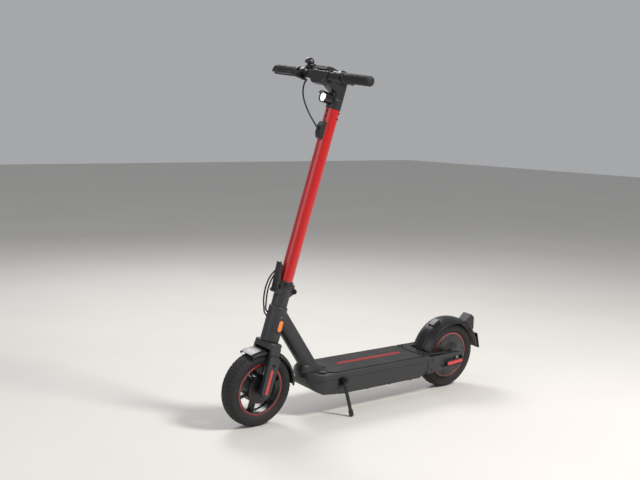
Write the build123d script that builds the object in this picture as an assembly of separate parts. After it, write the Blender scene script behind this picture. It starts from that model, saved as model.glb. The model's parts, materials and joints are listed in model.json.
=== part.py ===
from build123d import *
import os
from math import acos, atan2, cos, degrees, hypot, radians, sin

# Electric kick scooter, in millimetres.
# It is drawn standing upright: X forward, Y to the rider's left, Z up, with the rear tyre touching
# the ground at the origin. park() then tips it onto its kickstand and puts the origin on the ground
# under the middle of its bounding box. Steering pieces are drawn in the steering frame: the origin
# is the front axle, Z runs up the steering axis and X points forward, square to it.

# ---------------------------------------------------------------- overall layout
wheelbase = 872.0
rake = 13.7                   # the steering axis leans back by this many degrees
handlebar_width = 464.0
handlebar_rise = 1009.0       # from the front axle to the bar, up the steering axis
handlebar_reach = 83.0        # the bar's distance ahead of the steering axis
seam = 0.3                    # the gap at a parting line
fit = 0.05                    # radial clearance of a shaft in its bore

# ---------------------------------------------------------------- wheels
tyre_radius = 125.0
tyre_width = 60.0
tyre_wall = 6.0
shoulder_radius = 114.0       # where the tread meets the sidewall
shoulder_half_width = 24.5
rim_radius = 85.0
rim_half_width = 22.0
rim_depth = 8.0
tape_width = 3.6
tape_thickness = 1.0
valve_radius = 3.5
valve_length = 20.0

front_axle_radius = 5.0
drum_radius = 47.0
drum_wall = 5.0
drum_liner = 1.6
drum_left = 18.0              # the drum's open left end
drum_right = -22.0
spoke_count = 6
spoke_width = 13.0
brake_plate_thickness = 3.5
shoe_lining_gap = 0.8
shoe_width = 12.0

motor_axle_radius = 6.0
axle_end = 7.5                # how far the motor axle stands out of the arms
motor_half_width = 34.0
stator_radius = 61.0
stator_half_width = 13.0
stator_slots = 27
magnet_count = 30
magnet_thickness = 3.0
air_gap = 0.8

# ---------------------------------------------------------------- fork and head tube
leg_inner = 37.0
leg_thickness = 10.0
leg_half_width = 16.0
crown_bottom = 136.0
crown_top = 157.0
crown_half_width = 26.0
steerer_radius = 15.0
steerer_bore = 11.0
cover_thickness = 9.0
cover_wall = 2.5
cover_top = 117.0
head_tube_radius = 30.0
head_tube_top = 272.0
bearing_outer_radius = 22.0
bearing_height = 9.0
fender_gap = 5.0              # between the front tyre and its fender
fender_wall = 2.5
beak_reach = 114.0
neck_half_depth = 27.0
neck_half_width = 25.0
neck_joint_height = 250.0     # where the neck's centre line meets the steering axis
neck_foot_x = 651.0
reflector_length = 36.0
reflector_width = 15.0
reflector_height = 213.0      # of the side reflectors' middle, up the steering axis

# ---------------------------------------------------------------- folding joint and stem
base_radius = 26.0
base_top = 337.0
pin_back = 32.0               # the folding pin's distance behind the steering axis
pin_height = 328.0
pin_radius = 5.0
knuckle_radius = 9.0
knuckle_half_width = 18.0
fold_angle = 91.0
socket_radius = 27.0
socket_top = 356.0
stem_radius = 22.5
stem_wall = 2.5
stem_top = 935.0
head_bottom = 920.0
lever_pivot_height = 320.0
lever_pivot_forward = 33.0
lever_tip_height = 415.0
lever_half_width = 12.0
lever_pin_radius = 3.0
stem_screw_heights = (893.0, 911.0)
cable_radius = 2.5
joint_cable_y = -16.0         # the cables past the fold run beside the folding lever
joint_cable_shifts = (0.0, 11.0)

# ---------------------------------------------------------------- handlebar
bar_radius = 11.0
grip_radius = 16.0
left_grip_start = 110.0
right_grip_start = 106.0
wing_half_width = 47.0
head_half_width = 31.0
neck_block_half_width = 20.0
lamp_height = 948.0
lamp_radius = 15.0
bell_radius = 15.5
bell_y = -73.0
perch_place = (-97.0, -79.0)  # the brake lever's clamp along the bar
lever_level = -11.0           # the brake lever's height against the bar
lever_thickness = 11.0
lever_pivot_reach = 37.0
button_travel = 1.0
cable_start = Vector(6, -57, -23)
cable_way = Vector(9, 5, -13)   # the first stretch of the brake cable

# ---------------------------------------------------------------- deck
deck_top = 156.0
deck_half_width = 75.0
deck_rear = 160.0
deck_front = 702.0
lip_height = 19.0
tub_half_width = 71.0
tub_floor_half_width = 62.0
tub_bottom = 77.0
deck_wall = 5.0
cavity_front = 640.0
opening_front = 580.0         # where the cover plate ends and the tub starts to rise
cavity_rear = 205.0
nose_radius = 55.0
cover_plate_thickness = 3.5
mat_thickness = 3.0
mat_half_width = 69.0
mat_rear = 192.0
mat_front = 645.0
stripe_rear = 238.0
stripe_front = 537.0
stripe_half_width = 8.0
cell_radius = 9.0
cell_length = 65.0
cell_rows = 12
cell_columns = 5
cell_pitch = 19.0
case_wall = 1.5
port_x = 640.0
port_y = 50.0
port_radius = 9.0
port_bore_radius = 5.5

# ---------------------------------------------------------------- rear end
arm_inner = 46.0
arm_thickness = 12.0
arm_low = 88.0
arm_high = 150.0
arm_end_radius = 22.0
arm_cover_outer = 73.0
arm_cover_end_radius = 27.0
rear_fender_radius = 141.0
rear_fender_wall = 3.0
rear_fender_half_width = 44.0
spine_radius = 147.0
spine_half_width = 18.0
catch_radius = 152.0
mount_plate_thickness = 4.0

# ---------------------------------------------------------------- kickstand
stand_pivot = Vector(566.0, 80.0, 129.0)
stand_foot = Vector(552.0, 114.0, 18.4)     # centre of the foot's round end
stand_leg_radius = 6.0
stand_foot_radius = 8.0

# ---------------------------------------------------------------- values worked out from these
rake_sine = sin(radians(rake))
rake_cosine = cos(radians(rake))
front_axle = Vector(wheelbase, 0, tyre_radius)
steering_frame = Plane(
    origin=front_axle, x_dir=(rake_cosine, 0, rake_sine), z_dir=(-rake_sine, 0, rake_cosine)
)
rear_axle = Vector(0, 0, tyre_radius)
tread_drop = tyre_radius - shoulder_radius
tread_arc_radius = (shoulder_half_width**2 + tread_drop**2) / (2 * tread_drop)
leg_outer = leg_inner + leg_thickness
cover_outer = leg_outer + seam + cover_thickness
front_fender_inner = tyre_radius + fender_gap
front_fender_outer = front_fender_inner + fender_wall
grip_end = handlebar_width / 2
arm_outer = arm_inner + arm_thickness
mat_top = deck_top + mat_thickness
cover_plate_bottom = tub_bottom - cover_plate_thickness
pin_centre = Vector(-pin_back, 0, pin_height)
bar_centre = Vector(handlebar_reach, 0, handlebar_rise)


# ================================================================= helpers
def upright(point):
    """A point of the steering frame, in the frame of the whole scooter."""
    return steering_frame.from_local_coords(Vector(point))


def along_y(radius, start, end, x=0.0, z=0.0, bore=0.0):
    """A rod, or a ring when it has a bore, lying along Y."""
    rod = Pos(x, (start + end) / 2, z) * Cylinder(radius, end - start, rotation=(90, 0, 0))
    if bore:
        rod -= Pos(x, (start + end) / 2, z) * Cylinder(bore, end - start + 2, rotation=(90, 0, 0))
    return rod


def along_z(radius, low, high, x=0.0, y=0.0, bore=0.0):
    """A rod, or a ring when it has a bore, lying along Z."""
    rod = Pos(x, y, (low + high) / 2) * Cylinder(radius, high - low)
    if bore:
        rod -= Pos(x, y, (low + high) / 2) * Cylinder(bore, high - low + 2)
    return rod


def rod_between(start, end, radius):
    start = Vector(start)
    end = Vector(end)
    return Solid.make_cylinder(radius, (end - start).length, Plane(start, z_dir=end - start))


def block(x0, x1, y0, y1, z0, z1):
    return Pos((x0 + x1) / 2, (y0 + y1) / 2, (z0 + z1) / 2) * Box(x1 - x0, y1 - y0, z1 - z0)


def side_plate(face, y0, y1):
    """A face drawn in X and Z, made as thick as from y0 to y1."""
    return extrude(Plane((0, y1, 0), x_dir=(1, 0, 0), z_dir=(0, -1, 0)) * face, y1 - y0)


def polygon(*points):
    return make_face(Polyline(*points, close=True))


def turned(*points):
    """A solid turned about Y from an outline of (radius, y) points."""
    return revolve(polygon(*points), Axis.Y)


def arched(face, start, end):
    """A section drawn as (radius, y), swept about Y from one angle to another, counted from
    straight ahead upwards."""
    return Rot(0, -end, 0) * revolve(face, Axis.Y, end - start)


def both_sides(piece):
    return [piece, mirror(piece, Plane.XZ)]


# ================================================================= wheels
def tyre():
    """A hollow tyre, open towards the rim."""
    inner = rim_half_width - tyre_wall
    outside = (
        ThreePointArc(
            (rim_radius, rim_half_width),
            (shoulder_radius - 16, tyre_width / 2),
            (shoulder_radius, shoulder_half_width),
        )
        + ThreePointArc(
            (shoulder_radius, shoulder_half_width), (tyre_radius, 0), (shoulder_radius, -shoulder_half_width)
        )
        + ThreePointArc(
            (shoulder_radius, -shoulder_half_width),
            (shoulder_radius - 16, -tyre_width / 2),
            (rim_radius, -rim_half_width),
        )
    )
    inside = (
        ThreePointArc(
            (rim_radius, inner),
            (shoulder_radius - 17, tyre_width / 2 - tyre_wall),
            (shoulder_radius - 3, shoulder_half_width - tyre_wall),
        )
        + ThreePointArc(
            (shoulder_radius - 3, shoulder_half_width - tyre_wall),
            (tyre_radius - tyre_wall, 0),
            (shoulder_radius - 3, tyre_wall - shoulder_half_width),
        )
        + ThreePointArc(
            (shoulder_radius - 3, tyre_wall - shoulder_half_width),
            (shoulder_radius - 17, tyre_wall - tyre_width / 2),
            (rim_radius, -inner),
        )
    )
    beads = Line((rim_radius, rim_half_width), (rim_radius, inner)) + Line(
        (rim_radius, -rim_half_width), (rim_radius, -inner)
    )
    return revolve(make_face(outside + inside + beads), Axis.Y)


def rim_tape():
    """The two thin coloured rings on the edges of a rim."""
    low = rim_radius - seam - tape_width
    ring = along_y(rim_radius - seam, rim_half_width, rim_half_width + tape_thickness, bore=low)
    return both_sides(ring)


def valve(rim_inner):
    """A valve stem that stands on the inside of the rim, pointing at the axle."""
    stem = along_z(valve_radius, rim_inner - valve_length, rim_inner + 6)
    cap = along_z(valve_radius + 1.2, rim_inner - valve_length - 6, rim_inner - valve_length)
    return stem + cap


def front_rim():
    """A spoked rim in one piece with the brake drum's shell."""
    inner = rim_radius - rim_depth
    barrel = along_y(rim_radius - fit, -rim_half_width, rim_half_width, bore=inner)
    barrel -= along_y(inner + 4, -12, 12, bore=inner - 1)
    shell = along_y(drum_radius, drum_right, drum_left)
    shell -= along_y(drum_radius - drum_wall, drum_right + 10, drum_left + 1)
    boss = along_y(19, drum_right, 2)
    rim = barrel + shell + boss
    for number in range(spoke_count):
        spoke = block(drum_radius - 2, inner + 5, -9, 9, -spoke_width / 2, spoke_width / 2)
        spoke -= block(drum_radius + 6, inner - 5, 5, 10, -spoke_width / 5, spoke_width / 5)
        rim += Rot(0, number * 360 / spoke_count + 30, 0) * spoke
    rim -= along_y(front_axle_radius + 3, drum_right - 1, 3)
    rim -= along_y(13 + fit, drum_right - 1, drum_right + 8)
    rim -= along_y(13 + fit, -6, 3)
    rim -= Rot(0, 60 / spoke_count + 30, 0) * along_z(valve_radius + fit, inner - 1, inner + rim_depth)
    return rim


def front_bearings():
    outer = along_y(13, drum_right, drum_right + 8, bore=front_axle_radius + fit)
    return [outer, along_y(13, -6, 2, bore=front_axle_radius + fit)]


def brake_drum_liner():
    outer = drum_radius - drum_wall - fit
    return along_y(outer, drum_right + 10 + seam, drum_left - 1, bore=outer - drum_liner)


def brake_plate():
    """The fixed plate that closes the drum and carries the shoes."""
    left = drum_left + 1 + brake_plate_thickness
    plate = along_y(drum_radius - 1, drum_left + 1, left)
    plate += along_y(drum_radius - drum_wall - 2.2, drum_left - 1, left, bore=drum_radius - drum_wall - 5)
    plate += along_y(12, 5, leg_inner - seam)
    plate += along_y(3.5, 3, drum_left + 2, x=0, z=-29)
    plate -= along_y(front_axle_radius + fit, 0, leg_inner + 1)
    plate -= along_y(3 + fit, drum_left - 5, left + 2, x=0, z=29)
    return plate


def brake_shoe(side):
    """One shoe: a half ring, hinged on the plate's lower post; side is 1 at the front."""
    outer = drum_radius - drum_wall - fit - drum_liner - shoe_lining_gap
    ring = along_y(outer, 4, 4 + shoe_width, bore=outer - 8)
    gap = 4.2
    half = ring & block(min(side * gap, side * 60), max(side * gap, side * 60), 0, 30, -60, 60)
    return half - along_y(3.5 + seam, 0, 30, z=-29)


def brake_arm():
    """The outside arm and the cam shaft that spreads the shoes."""
    y = drum_left + 1 + brake_plate_thickness + seam
    shaft = along_y(3, 12, y + 4, z=29)
    cam = block(-3, 3, 4, 4 + shoe_width, 26, 32)
    arm = block(-4, 4, y, y + 4, 29, 66) + along_y(6, y, y + 4, z=29) + along_y(6, y, y + 4, z=66)
    arm -= along_y(2, y - 1, y + 5, z=66)
    return shaft + cam + arm


def motor_hub():
    """The rear hub motor's turning shell: rim, right side wall and magnet seat."""
    wall = 4.0
    seat = stator_radius + air_gap + magnet_thickness
    outline = (
        (rim_radius - fit, -rim_half_width),
        (rim_radius - fit, rim_half_width),
        (seat, rim_half_width),
        (seat, -rim_half_width + wall),
        (50, -rim_half_width - 2 + wall),
        (30, -motor_half_width + 3 + wall),
        (14 + fit, -motor_half_width + wall + 3),
        (14 + fit, -motor_half_width),
        (30, -motor_half_width),
        (50, -rim_half_width - 4),
        (rim_radius - rim_depth, -rim_half_width),
    )
    return turned(*outline)


def motor_side_cover():
    """The left side wall, screwed to the rim."""
    wall = 4.0
    outline = (
        (rim_radius - rim_depth, rim_half_width + seam),
        (50, rim_half_width + 4),
        (30, motor_half_width),
        (14 + fit, motor_half_width),
        (14 + fit, motor_half_width - wall - 3),
        (30, motor_half_width - 3 - wall),
        (50, rim_half_width + 3 - wall),
        (62, rim_half_width + 0.1),
        (rim_radius - rim_depth, rim_half_width + 0.1),
    )
    return turned(*outline)


def motor_cover_screws():
    screws = []
    for number in range(6):
        head = along_y(3, rim_half_width + 1.5, rim_half_width + 3.2, x=72)
        screws.append(Rot(0, number * 60 + 15, 0) * head)
    return screws


def motor_magnets():
    magnets = []
    pitch = 360 / magnet_count
    inner = stator_radius + air_gap
    for number in range(magnet_count):
        magnet = arched(
            polygon(
                (inner, -stator_half_width),
                (inner + magnet_thickness - fit, -stator_half_width),
                (inner + magnet_thickness - fit, stator_half_width),
                (inner, stator_half_width),
            ),
            number * pitch,
            number * pitch + pitch - 1.5,
        )
        magnets.append(magnet)
    return magnets


def motor_stator():
    """The wound core, pressed on the fixed axle."""
    core = along_y(stator_radius, -stator_half_width, stator_half_width, bore=motor_axle_radius)
    core -= along_y(26, 4, stator_half_width + 1)
    core -= along_y(26, -stator_half_width - 1, -4)
    core += along_y(12, -18, 18, bore=motor_axle_radius)
    slot = block(34, stator_radius - 3, -20, 20, -2.6, 2.6) + block(40, stator_radius + 1, -20, 20, -1, 1)
    for number in range(stator_slots):
        core -= Rot(0, number * 360 / stator_slots, 0) * slot
    return core


def motor_axle():
    """The fixed axle, with flats where the arms hold it."""
    length = arm_outer + axle_end
    axle = along_y(motor_axle_radius, -length, length)
    for sign in (-1, 1):
        flat = block(-8, 8, arm_inner - 2, length + 1, motor_axle_radius - 1, motor_axle_radius + 2)
        axle -= flat if sign > 0 else mirror(flat, Plane.XZ)
    return axle


def motor_bearings():
    ring = along_y(14, motor_half_width - 7, motor_half_width, bore=motor_axle_radius + fit)
    return both_sides(ring)


def axle_nuts(face, radius, bore, thickness):
    """Two hexagon nuts on an axle's ends, against faces that far from the middle."""
    nut = extrude(Plane((0, face + thickness, 0), z_dir=(0, -1, 0)) * RegularPolygon(radius, 6), thickness)
    nut -= along_y(bore, face - 1, face + thickness + 1)
    return both_sides(nut)


# ================================================================= fork, in the steering frame
def fork():
    """Steerer, crown and two legs in one piece."""
    crown = block(-crown_half_width, crown_half_width, -leg_outer, leg_outer, crown_bottom, crown_top)
    crown = fillet(crown.edges().filter_by(Axis.Z), 16)
    crown = fillet(crown.faces().sort_by(Axis.Z)[-1].edges(), 6)
    steerer = along_z(steerer_radius, crown_bottom, base_top - 40, bore=steerer_bore)
    body = crown + steerer
    leg_face = polygon(
        (-leg_half_width, 0),
        (leg_half_width, 0),
        (leg_half_width + 3, crown_bottom + 4),
        (-leg_half_width - 3, crown_bottom + 4),
    ) + Circle(leg_half_width)
    leg = side_plate(leg_face, leg_inner, leg_outer)
    leg -= along_y(front_axle_radius + fit, leg_inner - 1, leg_outer + 1)
    for side in both_sides(leg):
        body += side
    return body - along_z(steerer_bore, crown_bottom - 1, base_top)


def front_axle_rod():
    length = leg_outer + 6.5
    return along_y(front_axle_radius, -length, length)


def front_axle_pieces():
    nuts = axle_nuts(leg_outer, 9, front_axle_radius, 5)
    return [front_axle_rod()] + nuts + both_sides(leg_cover_bolt())


def leg_cover_outline(inset):
    top = 22 - inset
    low = 19 - inset
    return polygon((-low, 0), (low, 0), (top, cover_top - inset - 6), (top - 8, cover_top - inset),
                   (-top + 4, cover_top - inset - 3), (-top, cover_top - inset - 12)) + Circle(low)


def leg_cover():
    """The left leg's outer cover: a hollow shell with a bolt hole and a reflector seat."""
    y0 = leg_outer + seam
    shell = side_plate(leg_cover_outline(0), y0, cover_outer)
    shell = fillet(shell.faces().sort_by(Axis.Y)[-1].edges(), 2)
    shell -= side_plate(leg_cover_outline(cover_wall), y0 - 1, cover_outer - cover_wall)
    shell += along_y(6, y0, cover_outer - 1, z=89)
    shell -= along_y(2.5 + fit, y0 - 1, cover_outer + 1, z=89)
    seat = reflector_strip(cover_outer - 1, cover_outer + 1, 0.1)
    return shell - seat


def reflector_strip(y0, y1, grow):
    half = 5.5 + grow
    strip = polygon((-half, -6 - grow), (half, -6 - grow), (half + 1, 74 + grow), (-half + 3, 74 + grow))
    return side_plate(strip, y0, y1)


def leg_reflector():
    return reflector_strip(cover_outer - 1, cover_outer + 0.6, 0)


def leg_cover_bolt():
    shank = along_y(2.5, leg_outer + 0.5, cover_outer, z=89)
    return shank + along_y(4.5, cover_outer + 0.1, cover_outer + 1.6, z=89)


def beak_section(forward, height, half_width, half_height):
    return Plane((forward, 0, height), x_dir=(0, 1, 0), z_dir=(1, 0, 0)) * Ellipse(half_width, half_height)


def front_fender():
    """The arched mudguard, with a beak ahead of the crown and a tail behind the wheel."""
    half = tyre_width / 2 + 4
    outer = front_fender_outer
    section = polygon(
        (outer - 12, half + fender_wall), (outer - 4, half + fender_wall - 1), (outer, half - 8),
        (outer, 8 - half), (outer - 4, 1 - half - fender_wall), (outer - 12, -half - fender_wall),
        (outer - 12, -half), (outer - 5, 1.5 - half), (outer - fender_wall, 9 - half),
        (outer - fender_wall, half - 9), (outer - 5, half - 1.5), (outer - 12, half),
    )
    shell = arched(section, 54, 180 - rake)
    beak = loft([beak_section(20, 118, 37, 36), beak_section(beak_reach - 18, 103, 23, 12),
                 beak_section(beak_reach, 98, 12, 5)])
    hollow = loft([beak_section(19, 117.6, 34.5, 33.5), beak_section(beak_reach - 19, 103, 20, 9),
                   beak_section(beak_reach - 3, 98, 9, 2.5)])
    below = side_plate(polygon((0, 113), (beak_reach + 10, 91), (beak_reach + 10, 40), (0, 40)), -60, 60)
    beak -= hollow
    beak -= below
    beak -= along_y(outer, -60, 60)
    guard = shell + beak
    crown_room = block(-crown_half_width - 1, crown_half_width + seam, -60, 60, crown_bottom - seam, 200)
    legs = both_sides(block(-25, 25, leg_inner - seam, leg_outer + 15, 60, 200))
    guard -= crown_room
    for leg_room in legs:
        guard -= leg_room
    return max(guard.solids(), key=lambda solid: solid.volume)


def headset_bearings():
    inner = steerer_radius + fit
    low = along_z(bearing_outer_radius, crown_top + 4, crown_top + 4 + bearing_height, bore=inner)
    top = head_tube_top - 4
    return [low, along_z(bearing_outer_radius, top - bearing_height, top, bore=inner)]


# ================================================================= main frame
def frame_neck():
    """Head tube and neck, welded together, standing on the deck's nose."""
    bottom = crown_top + seam
    head = along_z(head_tube_radius, bottom, head_tube_top)
    head = fillet(head.edges().filter_by(GeomType.CIRCLE), 2)
    head = steering_frame.location * head
    top = upright((0, 0, neck_joint_height))
    foot = Vector(neck_foot_x, 0, deck_top)
    foot += (foot - top).normalized() * 30
    section = Plane(foot, x_dir=(0, 1, 0), z_dir=top - foot)
    section *= RectangleRounded(2 * neck_half_width, 2 * neck_half_depth, neck_half_width - 2)
    neck = extrude(section, (top - foot).length)
    collar = loft(
        [
            Plane((neck_foot_x + 4, 0, deck_top)) * RectangleRounded(104, 64, 25),
            Plane((neck_foot_x + 17, 0, deck_top + 22)) * RectangleRounded(74, 51, 22),
        ]
    )
    frame = head + neck + collar
    for bezel in reflector_bezels():
        frame += steering_frame.location * bezel
    frame -= block(0, 1000, -100, 100, 0, deck_top)
    bores = along_z(bearing_outer_radius + fit, bottom - 1, bottom + 20)
    bores += along_z(bearing_outer_radius + fit, head_tube_top - 20, head_tube_top + 1)
    bores += along_z(steerer_radius + 3, bottom - 1, head_tube_top + 1)
    frame -= steering_frame.location * bores
    for shift in joint_cable_shifts:
        start, end = (15, joint_cable_y, 237.5 - shift), (45, joint_cable_y, 258.2 - shift)
        frame -= steering_frame.location * rod_between(start, end, cable_radius + seam)
    return frame


def head_reflectors():
    """The amber reflectors on the two sides of the head tube."""
    pad = Plane((-2, head_tube_radius + 2.5, reflector_height), x_dir=(1, 0, 0), z_dir=(0, -1, 0))
    lens = extrude(pad * SlotOverall(reflector_length, reflector_width, rotation=90), 2)
    return in_steering_frame(both_sides(lens))


def reflector_bezels():
    """The raised seats of the side reflectors."""
    outer = head_tube_radius + 2.5
    pad = Plane((-2, outer, reflector_height + 3), x_dir=(1, 0, 0), z_dir=(0, -1, 0))
    seat = extrude(pad * SlotOverall(reflector_length + 16, reflector_width + 8, rotation=90), 14)
    pocket = Plane((-2, outer + 1, reflector_height), x_dir=(1, 0, 0), z_dir=(0, -1, 0))
    seat -= extrude(pocket * SlotOverall(reflector_length + 0.2, reflector_width + 0.2, rotation=90), 3)
    return both_sides(seat)


def deck_plan(half_width, rear, front, corner):
    """The deck's outline from above: square behind, rounded in front."""
    return make_face(
        Polyline((front - corner, half_width), (rear, half_width), (rear, -half_width), (front - corner, -half_width))
        + ThreePointArc(
            (front - corner, -half_width), (front, 0), (front - corner, half_width)
        )
    )


def deck_frame():
    """The aluminium deck: a lip all round, a deep tub below it and a cavity that opens downwards."""
    lip_plan = deck_plan(deck_half_width, deck_rear, deck_front, nose_radius)
    lip = extrude(Plane((0, 0, deck_top - lip_height)) * lip_plan, lip_height)
    lip = fillet(lip.faces().sort_by(Axis.Z)[-1].edges(), 4)
    tub_side = polygon(
        (deck_rear, deck_top - lip_height + 1),
        (deck_rear, tub_bottom + 16),
        (deck_rear + 22, tub_bottom),
        (opening_front + 6, tub_bottom),
        (deck_front - 60, tub_bottom + 7),
        (deck_front - 30, tub_bottom + 21),
        (deck_front - 16, tub_bottom + 38),
        (deck_front - 9, deck_top - lip_height + 1),
    )
    tub_plan = deck_plan(tub_half_width, deck_rear, deck_front - 6, nose_radius)
    tub_section = polygon(
        (-tub_half_width, deck_top), (tub_half_width, deck_top), (tub_half_width, tub_bottom + 22),
        (tub_floor_half_width, tub_bottom), (-tub_floor_half_width, tub_bottom), (-tub_half_width, tub_bottom + 22)
    )
    tub = side_plate(tub_side, -tub_half_width, tub_half_width) & extrude(tub_plan, deck_top)
    tub &= extrude(Plane((0, 0, 0), x_dir=(0, 1, 0), z_dir=(1, 0, 0)) * tub_section, wheelbase)
    body = lip + tub
    cavity_half = tub_floor_half_width - deck_wall
    floor = tub_bottom + 25
    opening = deck_plan(cavity_half, cavity_rear, opening_front - deck_wall, 15)
    cavity = deck_plan(cavity_half, cavity_rear, cavity_front, nose_radius - 10)
    body -= extrude(Plane((0, 0, tub_bottom - 1)) * opening, floor + 2 - tub_bottom)
    body -= extrude(Plane((0, 0, floor)) * cavity, deck_top - deck_wall - floor)
    body -= along_z(port_radius + fit, deck_top - 40, deck_top + 1, x=port_x, y=port_y)
    for x, y in plate_screw_places():
        body -= along_z(1.6, tub_bottom - 1, tub_bottom + 12, x=x, y=y)
    return body


def plate_screw_places():
    y = tub_floor_half_width - deck_wall / 2
    places = []
    for number in range(4):
        x = cavity_rear + 25 + number * (opening_front - cavity_rear - 65) / 3
        places += [(x, y), (x, -y)]
    return places


def battery_cover():
    """The plate that closes the tub from below."""
    plan = deck_plan(tub_floor_half_width - 0.5, deck_rear + 24, opening_front, 15)
    plate = extrude(Plane((0, 0, cover_plate_bottom)) * plan, cover_plate_thickness - 0.1)
    plate = chamfer(plate.faces().sort_by(Axis.Z)[0].edges(), 1.2)
    for number in range(3):
        x = cavity_rear + 110 + number * 120
        plate += block(x - 40, x + 40, -25, 25, cover_plate_bottom - 1, cover_plate_bottom + 1)
    for x, y in plate_screw_places():
        plate -= along_z(1.7, cover_plate_bottom - 2, tub_bottom + 1, x=x, y=y)
    return plate


def cover_screws():
    screws = []
    for x, y in plate_screw_places():
        shank = along_z(1.5, cover_plate_bottom, tub_bottom + 11, x=x, y=y)
        screws.append(shank + along_z(2.9, cover_plate_bottom - 1.5, cover_plate_bottom - 0.1, x=x, y=y))
    return screws


def case_limits():
    rear = cavity_rear + 25
    front = rear + cell_rows * cell_pitch + 2 * case_wall + 2
    half = cell_columns * cell_pitch / 2 + case_wall + 1
    return rear, front, half


def battery_case():
    """The pack's closed case, standing on the cover plate."""
    rear, front, half = case_limits()
    low = tub_bottom + 0.5
    high = low + cell_length + 2 * case_wall + 1
    outside = block(rear, front, -half, half, low, high)
    inside = block(
        rear + case_wall, front - case_wall, -half + case_wall, half - case_wall, low + case_wall, high - case_wall
    )
    return outside - inside


def battery_cells():
    rear, front, half = case_limits()
    low = tub_bottom + 0.5 + case_wall + seam
    cells = []
    for row in range(cell_rows):
        for column in range(cell_columns):
            x = rear + case_wall + 1 + cell_pitch * (row + 0.5)
            y = cell_pitch * (column + 0.5 - cell_columns / 2)
            cells.append(along_z(cell_radius, low, low + cell_length, x=x, y=y))
    return cells


def controller():
    """The motor controller's finned aluminium box, fixed under the deck plate."""
    front = case_limits()[1]
    start = front + 30
    high = deck_top - deck_wall - seam
    box = block(start, start + 110, -35, 35, high - 34, high)
    for number in range(8):
        x = start + 8 + number * 13
        box -= block(x, x + 6, -36, 36, high - 35, high - 26)
    return box


def charge_port():
    """The charging socket: a flanged barrel with an open bore for the charger's plug."""
    barrel = along_z(port_radius, deck_top - 24, deck_top, x=port_x, y=port_y)
    barrel += along_z(port_radius + 3, deck_top, deck_top + 1.5, x=port_x, y=port_y)
    return barrel - along_z(port_bore_radius, deck_top - 14, deck_top + 2, x=port_x, y=port_y)


def charge_cap():
    """The port's hinged rubber cap with its pull tab."""
    low = deck_top + 1.5 + seam
    cap = along_z(port_radius + 3, low, low + 2.5, x=port_x, y=port_y)
    cap += block(port_x - 15, port_x - 9, port_y - 4, port_y + 4, low, low + 2.5)
    cap += block(port_x + 9, port_x + 16, port_y - 4, port_y + 4, low + 0.5, low + 2.5)
    return cap


def deck_mat():
    """The rubber standing mat, with a groove for the stripe."""
    plan = deck_plan(mat_half_width, mat_rear, mat_front, nose_radius)
    mat = extrude(Plane((0, 0, deck_top)) * plan, mat_thickness)
    mat -= Pos(neck_foot_x + 4, 0, deck_top) * extrude(RectangleRounded(110, 68, 25), 10)
    mat -= along_z(port_radius + 9, deck_top - 1, deck_top + 9, x=port_x, y=port_y)
    mat -= deck_stripe_block(0.1, mat_top + 1)
    return mat


def deck_stripe_block(grow, top):
    half = stripe_half_width + grow
    return block(stripe_rear - grow, stripe_front + grow, -half, half, mat_top - 1.5, top)


def deck_stripe():
    return deck_stripe_block(0, mat_top + 0.4)


# ================================================================= rear arms and fender
def arm_face(end_radius, low, high):
    return polygon(
        (deck_rear, low),
        (deck_rear, high),
        (0, tyre_radius + end_radius),
        (0, tyre_radius - end_radius),
    ) + Pos(0, tyre_radius) * Circle(end_radius)


def rear_arm():
    """The left plate that carries the rear axle; its front end is welded to the deck."""
    arm = side_plate(arm_face(arm_end_radius, arm_low + 2, arm_high - 2), arm_inner, arm_outer)
    return arm - along_y(motor_axle_radius + fit, arm_inner - 1, arm_outer + 1, z=tyre_radius)


def arm_cover():
    """The left arm's outer cover with a long recess and a tongue that carries a reflector."""
    y0 = arm_outer + seam
    cover = side_plate(arm_face(arm_cover_end_radius, arm_low - 2, arm_high), y0, arm_cover_outer)
    cover -= block(deck_rear - seam, deck_rear + 5, 0, 100, 0, 200)
    cover = fillet(cover.faces().sort_by(Axis.Y)[-1].edges(), 3)
    recess = Pos(38, tyre_radius - 4) * SlotOverall(118, 36)
    cover -= side_plate(recess, y0 + 3.5, arm_cover_outer + 1)
    cover -= along_y(15, y0 - 1, y0 + 4, z=tyre_radius)
    tongue = Pos(14, tyre_radius - 12) * Rot(0, 0, -4) * RectangleRounded(86, 20, 8)
    cover -= side_plate(strip_outline(seam), arm_cover_outer - 3.5, arm_cover_outer + 1)
    cover += side_plate(tongue, y0 + 3, arm_cover_outer - 3.5)
    return cover - along_y(10.5, y0 - 1, arm_outer + axle_end + 0.5, z=tyre_radius)


def strip_outline(grow):
    """The arm reflector's face, larger all round by that much."""
    strip = RectangleRounded(76 + 2 * grow, 12 + 2 * grow, 5)
    return Pos(14, tyre_radius - 12) * Rot(0, 0, -4) * strip


def arm_reflector():
    return side_plate(strip_outline(0), arm_cover_outer - 3.5, arm_cover_outer - 1.5)


def arm_cover_screws():
    screws = []
    for x, z in ((140, 102), (140, 138)):
        screws.append(along_y(3, arm_cover_outer + 0.1, arm_cover_outer + 1.2, x=x, z=z))
    return screws + [mirror(screw, Plane.XZ) for screw in screws]


def fender_section(outer, wall, half):
    """An arch over the tyre, as (radius, y)."""
    shoulder = outer - 9
    skirt = outer - 17
    outside = Polyline((skirt, half), (shoulder, half - 3))
    outside += ThreePointArc((shoulder, half - 3), (outer, 0), (shoulder, 3 - half))
    outside += Polyline((shoulder, 3 - half), (skirt, -half), (skirt, wall - half), (shoulder - 1, wall + 2.5 - half))
    outside += ThreePointArc((shoulder - 1, wall + 2.5 - half), (outer - wall, 0), (shoulder - 1, half - wall - 2.5))
    outside += Polyline((shoulder - 1, half - wall - 2.5), (skirt, half - wall), (skirt, half))
    return make_face(outside)


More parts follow.
